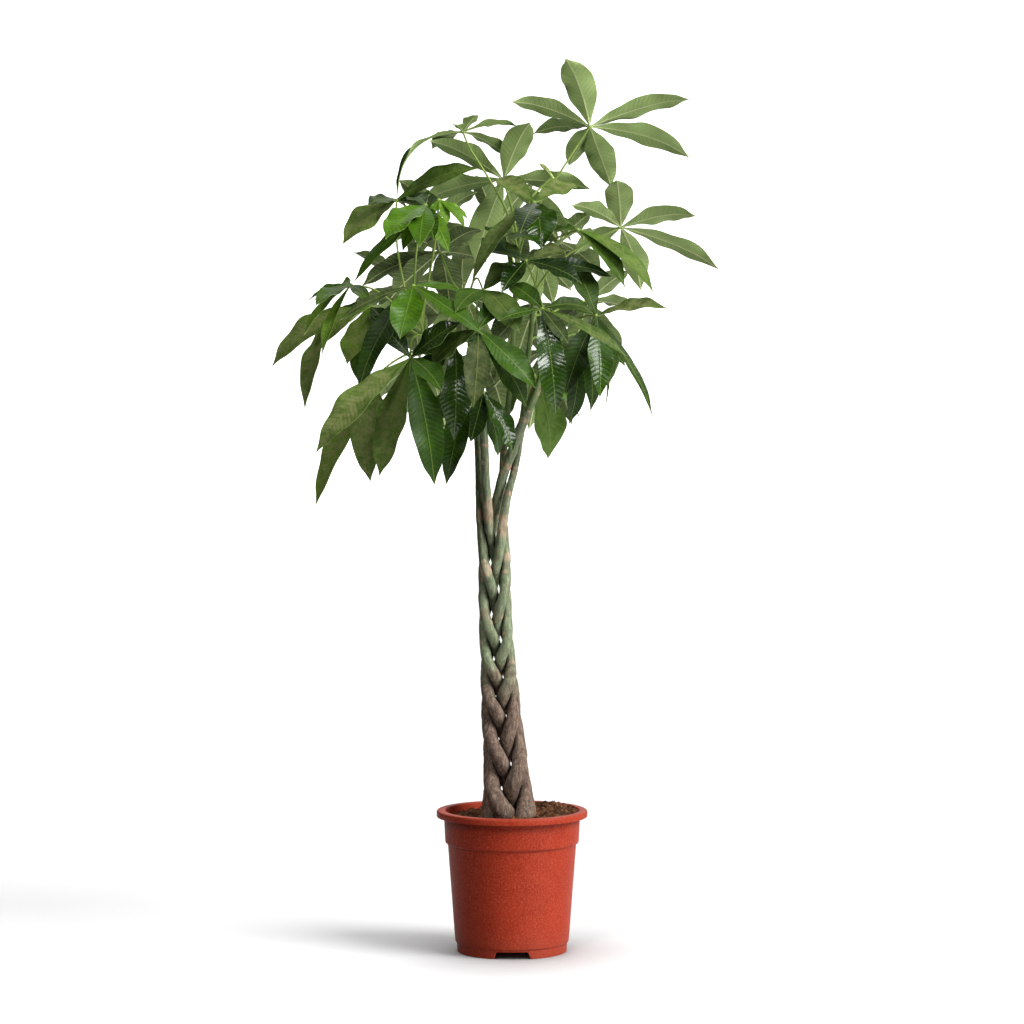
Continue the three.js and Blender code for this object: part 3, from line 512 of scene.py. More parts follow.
# %% Peat finish
def peat_finish():
    """Dark peat with pale specks, and crumbs that are paler by the shade that they carry."""
    finish = Finish("peat", Specular_IOR_Level=0.2, Roughness=0.95)
    place = finish.object_place()
    clump = finish.noise(place, 90, 6, 0.7)
    fine = finish.noise(place, 520, 4, 0.7)
    finish.relief((clump, 3.0), (fine, 1.2))
    return finish.done(Base_Color=finish.layered(
        (0.030, 0.012, 0.006),
        (finish.rise(clump, 0.32, 0.68), (0.20, 0.085, 0.036)),
        (finish.rise(fine, 0.55, 0.75), (0.40, 0.19, 0.09)),
        (finish.carried("shade"), (0.36, 0.17, 0.085))))


peat = peat_finish()

# %% Peat shape
SOIL_LEVEL, SOIL_RISE_RIGHT, SOIL_RISE_BACK, SOIL_WAVES = 187, 6.5, 5, 1.8
HEAP_HEIGHT, HEAP_SPREAD = 3, 1400
COARSE_LUMP, FINE_LUMP = 1.1, 0.8
SOIL_EDGE_RADIUS = BAND_TOP_RADIUS - WALL - 1.1
SOIL_GAP, SOIL_FLOOR_Z = 0.6, FLOOR_Z + 0.4
SOIL_RINGS, SOIL_SEGMENTS = 90, 200


def soil_top(x, y):
    """Height of the peat: a tilted plane, a bell-shaped heap at the middle, three slow waves, and lumps."""
    waves = (np.sin(0.21 * x + 0.19 * y + 1.3) + 0.8 * np.sin(0.37 * y - 0.12 * x + 2)
             + 0.6 * np.sin(0.55 * x + 0.31 * y))
    spots = np.stack([x, y, 0 * x], axis=-1)
    return (SOIL_LEVEL + (SOIL_RISE_RIGHT * x + SOIL_RISE_BACK * y) / SOIL_EDGE_RADIUS
            + HEAP_HEIGHT * np.exp(-(x * x + y * y) / HEAP_SPREAD) + SOIL_WAVES * waves
            + COARSE_LUMP * lumps(spots, 13, 5) + FINE_LUMP * lumps(spots, 5.5, 6))


def peat_skin():
    """Rings up the inside of the pot, and from its wall to the middle at the height of the peat."""
    side = np.array([(2, SOIL_FLOOR_Z), (BODY_FOOT_RADIUS - WALL - 5, SOIL_FLOOR_Z),
                     (BODY_TOP_RADIUS - WALL - SOIL_GAP, STEP_Z - 1),
                     (BAND_FOOT_RADIUS - WALL - SOIL_GAP, STEP_Z + 5), (SOIL_EDGE_RADIUS, POT_HEIGHT - 20)])
    flat = np.stack([np.linspace(SOIL_EDGE_RADIUS, 0.5, SOIL_RINGS), np.full(SOIL_RINGS, SOIL_LEVEL)], axis=1)
    rings = turned(np.vstack([side, flat]), SOIL_SEGMENTS)
    top = rings[len(side):]
    top[..., 2] = soil_top(top[..., 0], top[..., 1])
    return closed_skin(rings)


skin = peat_skin()
make_piece("peat_filling", skin, [peat], ["soil"], values={"shade": np.zeros(len(skin[0]))})
print(f"Peat filling: {len(skin[1])} quads")

# %% Crumbs
# One crumb in FIBRE_SHARE is a fibre: longer by FIBRE_LONG and thinner by FIBRE_THIN.
CRUMBS = 1500
FIBRE_SHARE, FIBRE_LONG, FIBRE_THIN = 8, 3.2, 0.35


def crumb_skin(count, seed):
    """count squeezed and turned icosahedra, half sunk in the peat, more of them small than large."""
    seedling = bmesh.new()
    bmesh.ops.create_icosphere(seedling, subdivisions=1, radius=1)
    ball = np.array([vertex.co for vertex in seedling.verts])
    sides = np.array([[vertex.index for vertex in face.verts] for face in seedling.faces])
    seedling.free()
    draw = np.random.default_rng(seed)
    radius = (SOIL_EDGE_RADIUS - 3) * np.sqrt(draw.uniform(0.02, 1, count))
    turn = draw.uniform(0, 2 * np.pi, count)
    x, y = radius * np.cos(turn), radius * np.sin(turn)
    size = 0.7 + 2.6 * draw.power(0.35, count)[:, None] * draw.uniform(0.6, 1.2, (count, 3))
    size[:count // FIBRE_SHARE] *= [FIBRE_LONG, FIBRE_THIN, FIBRE_THIN]
    lumpy = ball[None] * draw.uniform(0.75, 1.2, (count, len(ball), 1)) * size[:, None]
    spin = draw.normal(size=(count, 3, 3)) * [1, 1, 0.35]
    axes = np.linalg.qr(spin.transpose(0, 2, 1))[0]
    axes *= np.linalg.det(axes)[:, None, None]
    middles = np.stack([x, y, soil_top(x, y) + 0.25 * size.min(axis=1)], axis=-1)
    points = (lumpy @ axes.transpose(0, 2, 1) + middles[:, None]).reshape(-1, 3)
    faces = (sides[None] + len(ball) * np.arange(count)[:, None, None]).reshape(-1, 3)
    shade = np.repeat(draw.power(0.4, count) * 0.7, len(ball))
    return (points, np.zeros((0, 4), int), faces), shade


skin, shade = crumb_skin(CRUMBS, 11)
make_piece("peat_crumbs", skin, [peat], values={"shade": shade})
print(f"{CRUMBS} crumbs on the peat")

# %% [markdown]
# ## Trunks
#
# The braid was made when the trunks were thin and has thickened since, so its strands press on each other.
# Seen from above, the five middle lines share one flat figure of eight, a fifth of a turn apart. That is how
# a flat braid of five is worked: each strand passes to the side over two, and back under two. The plain
# solids keep a gap between the strands. Here they're an eighth thicker below and a hundredth above, which
# presses them together.
#
# Near the peat the bark is grey-brown and cracked. Higher up it is young, sage green and smooth, with rough
# tan rings and oval scars where leaves used to be. Shade is painted dark into the crevices between the
# strands. Both the shape and the colour need to know where those are, so each is worked out once and kept
# as an attribute of the points.

# %% Bark finish
BARK_TURNS_GREEN = (0.345, 0.415)  # heights in metres
CLOUD_WANDER = 0.16  # how far clouds carry the green up or down, in metres


def bark_finish():
    """Brown turns to green at a height that clouds shift, then come patches, pores, scars and painted shade
    between strands.
    """
    finish = Finish("bark", Specular_IOR_Level=0.3)
    place = finish.object_place()
    cloud = finish.noise(place, 34, 4, 0.6)
    grain = finish.noise(finish.stretched(place, 0.22), 260, 5, 0.65)
    cracks = finish.noise(finish.stretched(place, 0.16), 120, 6, 0.7)
    pores = finish.rise(finish.cells(finish.stretched(place, 0.7), 170), 0.2, 0.09)
    fleck = finish.noise(place, 850, 2, 0.6)
    wander = finish.maths("MULTIPLY_ADD", cloud, CLOUD_WANDER,
                          finish.maths("SUBTRACT", finish.height(place), CLOUD_WANDER / 2))
    green = finish.rise(wander, *BARK_TURNS_GREEN)
    brown = finish.colours(grain, (0.30, (0.062, 0.040, 0.030)), (0.50, (0.172, 0.113, 0.084)),
                           (0.70, (0.36, 0.265, 0.20)))
    sage = finish.colours(grain, (0.28, (0.085, 0.110, 0.052)), (0.50, (0.215, 0.270, 0.150)),
                          (0.72, (0.42, 0.47, 0.30)))
    tan = finish.blend(finish.rise(grain, 0.3, 0.7), (0.34, 0.22, 0.135), (0.74, 0.56, 0.39))
    colour = finish.layered(
        brown, (green, sage),
        (finish.rise(cloud, 0.52, 0.68, 0.55), (0.23, 0.15, 0.10)),
        (finish.times(pores, 0.55), (0.34, 0.27, 0.18)),
        (finish.rise(fleck, 0.54, 0.70, 0.45), (0.50, 0.43, 0.32)),
        (finish.carried("scar"), tan),
        # painted shade: the crevices between the strands darkened nearly to black
        (finish.times(finish.carried("crevice_shade"), 0.93), (0.014, 0.011, 0.008)))
    finish.relief((cracks, 0.9), (grain, 0.6), (fleck, 0.3), (pores, 0.35))
    return finish.done(Base_Color=colour, Roughness=finish.spread(green, 0.85, 0.6))


bark = bark_finish()

# %% Braid
STEM_FOOT_Z, STEM_STRAIGHT_Z, BRAID_TOP_Z = 122, 186, 548
STEM_TURN_Z = 260
LOW_CROSSING, MIDDLE_CROSSING, HIGH_CROSSING = 69, 50, 72
TIGHTEN_Z, LOOSEN_Z, CHANGE_SOFTNESS = 330, 428, 12
STEM_FILL = 0.45  # a strand's radius as a share of the reach of its middle line
BRAID_CENTRE = np.array([[191, -4], [253, -8], [349, -16], [411, -20], [459, -23], [569, -25]])
BRAID_HALF_WIDTH = np.array([[191, 37], [225, 32.5], [253, 30], [349, 25.7], [411, 23.7], [459, 23],
                             [569, 22]])


def between(stops, z):
    """A value between the stops: two thirds straight and one third S-shaped, which rounds its bends."""
    after = np.clip(np.searchsorted(stops[:, 0], z), 1, len(stops) - 1)
    (z0, low), (z1, high) = stops[after - 1].T, stops[after].T
    share = np.clip((z - z0) / (z1 - z0), 0, 1)
    return low + (high - low) * (0.35 * share * share * (3 - 2 * share) + 0.65 * share)


def braid_line(strand, z):
    """The middle line of one strand at the heights z.

    crossings counts the strands passed: evenly below, more quickly where the braid is tight, and more
    slowly above that. Each change of pace is a soft bend, softness ln(1 + e^(height / softness)). With
    t = 2 pi (strand - crossings) / 5, the strand lies cos t across and sin 2t deep, with small overtones
    that keep it clear of its neighbours.
    """
    held = np.maximum(z, STEM_STRAIGHT_Z)
    tight, loose = (CHANGE_SOFTNESS * np.log1p(np.exp((held - height) / CHANGE_SOFTNESS))
                    for height in (TIGHTEN_Z, LOOSEN_Z))
    crossings = ((held - STEM_TURN_Z) / LOW_CROSSING + (1 / MIDDLE_CROSSING - 1 / LOW_CROSSING) * tight
                 - (1 / MIDDLE_CROSSING - 1 / HIGH_CROSSING) * loose)
    t = 2 * np.pi * (strand - crossings) / 5
    reach = between(BRAID_HALF_WIDTH, held) / (1 + STEM_FILL)
    across = (np.cos(t) + 0.04 * np.cos(3 * t) - 0.07 * np.cos(5 * t)) / 0.97
    deep = 0.83 * np.sin(2 * t) - 0.19 * np.sin(4 * t) - 0.04 * np.sin(6 * t)
    return np.stack([between(BRAID_CENTRE, held) - reach * across, -reach * deep, z], axis=1)


# %% Trunk courses
# Above the braid each trunk goes its own way through the points of its top. Its rings are the rough tan
# bands that the photograph shows on it: the height of each, and half its width.
Trunk = namedtuple("Trunk", "name strand end_radius top rings")
TRUNKS = [
    Trunk("trunk_left", 0, 4.4,
          [(-42, -4, 580), (-44.5, 0, 615), (-46, 4, 655), (-48, 6, 707), (-50, 8, 740)],
          [(528, 7), (604, 9), (690, 2)]),
    Trunk("trunk_front", 1, 5.8,
          [(-31, -9, 583), (-33, -11, 611), (-35, -11, 638), (-36.5, -10, 666), (-39, -9, 721),
           (-44, -9, 765)], [(611, 18), (700, 3), (735, 2)]),
    Trunk("trunk_back", 2, 5,
          [(-11.5, 11, 578), (-13, 17, 604), (-13, 20, 645), (-12, 21, 685), (-8, 22, 735)],
          [(545, 6), (690, 3)]),
    Trunk("trunk_right", 3, 4.8,
          [(-15.5, -13, 570), (-12.5, -12, 592), (-9.5, -10, 613), (-4.8, -6.5, 636), (2.5, 1.5, 662),
           (8, 7, 690), (16, 13, 745)], [(589, 15), (634, 3), (668, 2)]),
    Trunk("trunk_cut", 4, 6.8,
          [(-28.5, 8, 578), (-24.5, 6, 604), (-20, 3, 628), (-12, -1, 660), (-2, -4, 686), (8, -5, 714),
           (22, -6, 748), (34, -8, 779)], [(672, 4), (735, 3), (775, 5)]),
]
TRUNK_STEPS = 420
PRESSED_LOW, PRESSED_HIGH, PRESS_EASES = 1.12, 1.01, (330, 430)


def trunk_path(trunk):
    """One spline up the braid and on through the points of the trunk's top."""
    heights = np.linspace(STEM_FOOT_Z, BRAID_TOP_Z, 35)
    return smooth_path(np.vstack([braid_line(trunk.strand, heights), trunk.top]), TRUNK_STEPS)


def trunk_radii(trunk, path):
    """The pressed radius in the braid, easing to the radius at the trunk's end above it."""
    z = path[:, 2]
    width = between(BRAID_HALF_WIDTH, np.clip(z, STEM_STRAIGHT_Z, BRAID_TOP_Z))
    easing = smooth(z, BRAID_TOP_Z - 20, BRAID_TOP_Z + 150)
    pressed = PRESSED_LOW + (PRESSED_HIGH - PRESSED_LOW) * smooth(z, *PRESS_EASES)
    return width / (1 + STEM_FILL) * STEM_FILL * pressed * (1 - easing) + trunk.end_radius * easing


# %% Scars and crevices
SCAR_EVERY, SCAR_TURN, SCAR_SHIFT, SCARS_BEGIN = 31.0, 2.4, 7, (330, 420)
SCAR_LENGTH, SCAR_WIDTH = 3.6, 0.62
# how close another strand is where the painted shade between strands begins and where it is full, in mm
CREVICE_SHUT, CREVICE_OPEN = 0.5, 6.0


def scars_on(path, trunk, around):
    """How far each point lies in a scar, 0 to 1: ovals every SCAR_EVERY mm, a turn of SCAR_TURN apart.

    An oval is a bell of the distance along the trunk and of the angle round it, cut off steeply.
    """
    travelled = distances(path)[:, None]
    turn = (2 * np.pi * np.arange(around) / around)[None]
    number = np.round((travelled + SCAR_SHIFT * trunk.strand) / SCAR_EVERY)
    along = travelled + SCAR_SHIFT * trunk.strand - number * SCAR_EVERY
    off = np.abs((turn - number * SCAR_TURN + np.pi) % (2 * np.pi) - np.pi)
    oval = smooth(np.exp(-(along / SCAR_LENGTH) ** 2 - (off / SCAR_WIDTH) ** 2), 0.32, 0.55)
    height, half_width = np.array(trunk.rings, dtype=float).T
    band = np.exp(-((path[:, 2, None] - height) / half_width) ** 6).max(axis=1)[:, None]
    uneven = 0.75 + 0.25 * np.sin(2 * turn + 0.35 * travelled)
    return np.maximum(0.75 * oval * smooth(path[:, 2, None], *SCARS_BEGIN), band * uneven)


def crevice_shade_on(rings, trunk):
    """How deep between strands each point lies, for painted shade: from 0, another strand CREVICE_OPEN away,
    to 1, CREVICE_SHUT.
    """
    gap = np.full(rings.shape[:2], np.inf)
    for other in TRUNKS:
        if other is not trunk:
            path = trunk_path(other)[::3]
            off = np.linalg.norm(rings[:, :, None] - path[None, None], axis=3) - trunk_radii(other, path)
            gap = np.minimum(gap, off.min(axis=2))
    return smooth(-gap, -CREVICE_OPEN, -CREVICE_SHUT)


# %% Trunk shapes
TRUNK_SIDES = 36
LUMP_COARSE, LUMP_FINE, SCAR_SWELLING = 0.045, 0.02, 0.45
FLARE, FLARE_TOP_Z, FLARE_FOOT_Z = 0.10, 215, 188


def trunk_skin(trunk):
    """A tube with lumps, a swelling at each ring and scar, a flared foot and a rounded end."""
    path = trunk_path(trunk)
    radii = trunk_radii(trunk, path)
    scar = scars_on(path, trunk, TRUNK_SIDES)
    smooth_rings = tube_rings(path, radii, TRUNK_SIDES)
    uneven = (1 + LUMP_COARSE * lumps(smooth_rings, 26, trunk.strand)
              + LUMP_FINE * lumps(smooth_rings, 9, 20 + trunk.strand))
    flared = 1 + FLARE * smooth(path[:, 2], FLARE_TOP_Z, FLARE_FOOT_Z)[:, None]
    rings = tube_rings(path, radii[:, None] * uneven * flared + SCAR_SWELLING * scar, TRUNK_SIDES)
    end, end_radii = domed(path[-2:], radii[-2:])
    cap = tube_rings(end, end_radii, TRUNK_SIDES)[2:]
    whole = np.concatenate([rings, cap])
    scar = np.append(np.concatenate([scar, np.ones(cap.shape[:2])]), [0, 1])
    return closed_skin(whole), {"scar": scar, "crevice_shade": np.append(crevice_shade_on(whole, trunk), [0, 0])}


for trunk in TRUNKS:
    skin, marks = trunk_skin(trunk)
    make_piece(f"bark_of_{trunk.name}", skin, [bark], [trunk.name], values=marks)
    print(f"{trunk.name}: {distances(trunk_path(trunk))[-1]:.0f} mm long, {len(skin[1])} quads")

# %% [markdown]
# ## Leaders
#
# A leader, which the nodes' names call a shoot, is this year's growth. It carries on from a trunk, green
# with faint ribs, and swells a little at each place where a stalk leaves it. It is drawn as one tube from
# inside the trunk's end, and begins at the trunk's own radius, so that no step shows where the two meet.
# Its tip is a small pointed bud.

# %% Leader and stalk finishes
def green_finish(name, low, high, fleck, roughness):
    """Clouds between two greens, with streaks of a third colour along the stem."""
    finish = Finish(name, Specular_IOR_Level=0.4, Roughness=roughness)
    place = finish.object_place()
    cloud = finish.noise(place, 40, 3, 0.5)
    streak = finish.noise(finish.stretched(place, 0.2), 500, 3, 0.6)
    finish.relief((streak, 0.25), (cloud, 0.3))
    return finish.done(Base_Color=finish.layered(
        low, (finish.rise(cloud, 0.3, 0.7), high),
        (finish.rise(streak, 0.55, 0.75, 0.5), fleck)))


young_bark = green_finish("young_bark", (0.13, 0.21, 0.06), (0.24, 0.33, 0.11), (0.33, 0.30, 0.16), 0.55)
stalk_green = green_finish("stalk_green", (0.22, 0.36, 0.055), (0.40, 0.54, 0.11), (0.50, 0.55, 0.20), 0.42)

# %% Leader shapes
# Each leader: its radius at the foot and at the tip, and the points that its middle line passes through
Shoot = namedtuple("Shoot", "name radii points")
SHOOTS = [
    Shoot("top", (4, 3.2), [(-8, 22, 735), (-2, 22, 790), (2, 18, 860), (6, 12, 930), (11, 5, 989)]),
    Shoot("left", (4.4, 3), [(-44, -9, 765), (-58, -16, 786), (-92, -30, 822), (-138, -40, 866)]),
    Shoot("back", (3.6, 3), [(-50, 8, 740), (-55, 14, 800), (-60, 20, 860), (-62, 24, 905)]),
    Shoot("front", (4.4, 3), [(21, -6, 746), (33, -24, 776), (43, -34, 815), (47, -40, 862)]),
    Shoot("right", (4, 3), [(16, 13, 745), (20, 19, 800), (26, 17, 855), (30, 12, 912)]),
]
SHOOT_STEPS, SHOOT_SIDES = 90, 20
FOOT_SWELLING, FOOT_REACH, NODE_SWELLING, NODE_REACH = 0.9, 9, 0.55, 3.5
BUD_LENGTH = 9


def shoot_skin(shoot, leaf_places):
    """A tapering tube with a swelling at each stalk, a bell of the distance from it, and a bud at its tip."""
    path = smooth_path(shoot.points, SHOOT_STEPS)
    travelled = distances(path)
    radii = (np.interp(travelled, travelled[[0, -1]], shoot.radii)
             + FOOT_SWELLING * np.exp(-travelled / FOOT_REACH))
    away = travelled[:, None] - np.array(leaf_places)[None] * travelled[-1]
    radii += NODE_SWELLING * np.exp(-(away / NODE_REACH) ** 2).max(axis=1)
    bud = np.linspace(0, 1, 9)[1:]
    path = np.vstack([path, path[-1] + BUD_LENGTH * bud[:, None] * unit(path[-1] - path[-2])])
    radii = np.concatenate([radii, radii[-1] * (1 - bud ** 1.6) * (1 + 0.35 * np.sin(np.pi * bud)) + 0.08])
    return closed_skin(tube_rings(path, radii, SHOOT_SIDES))
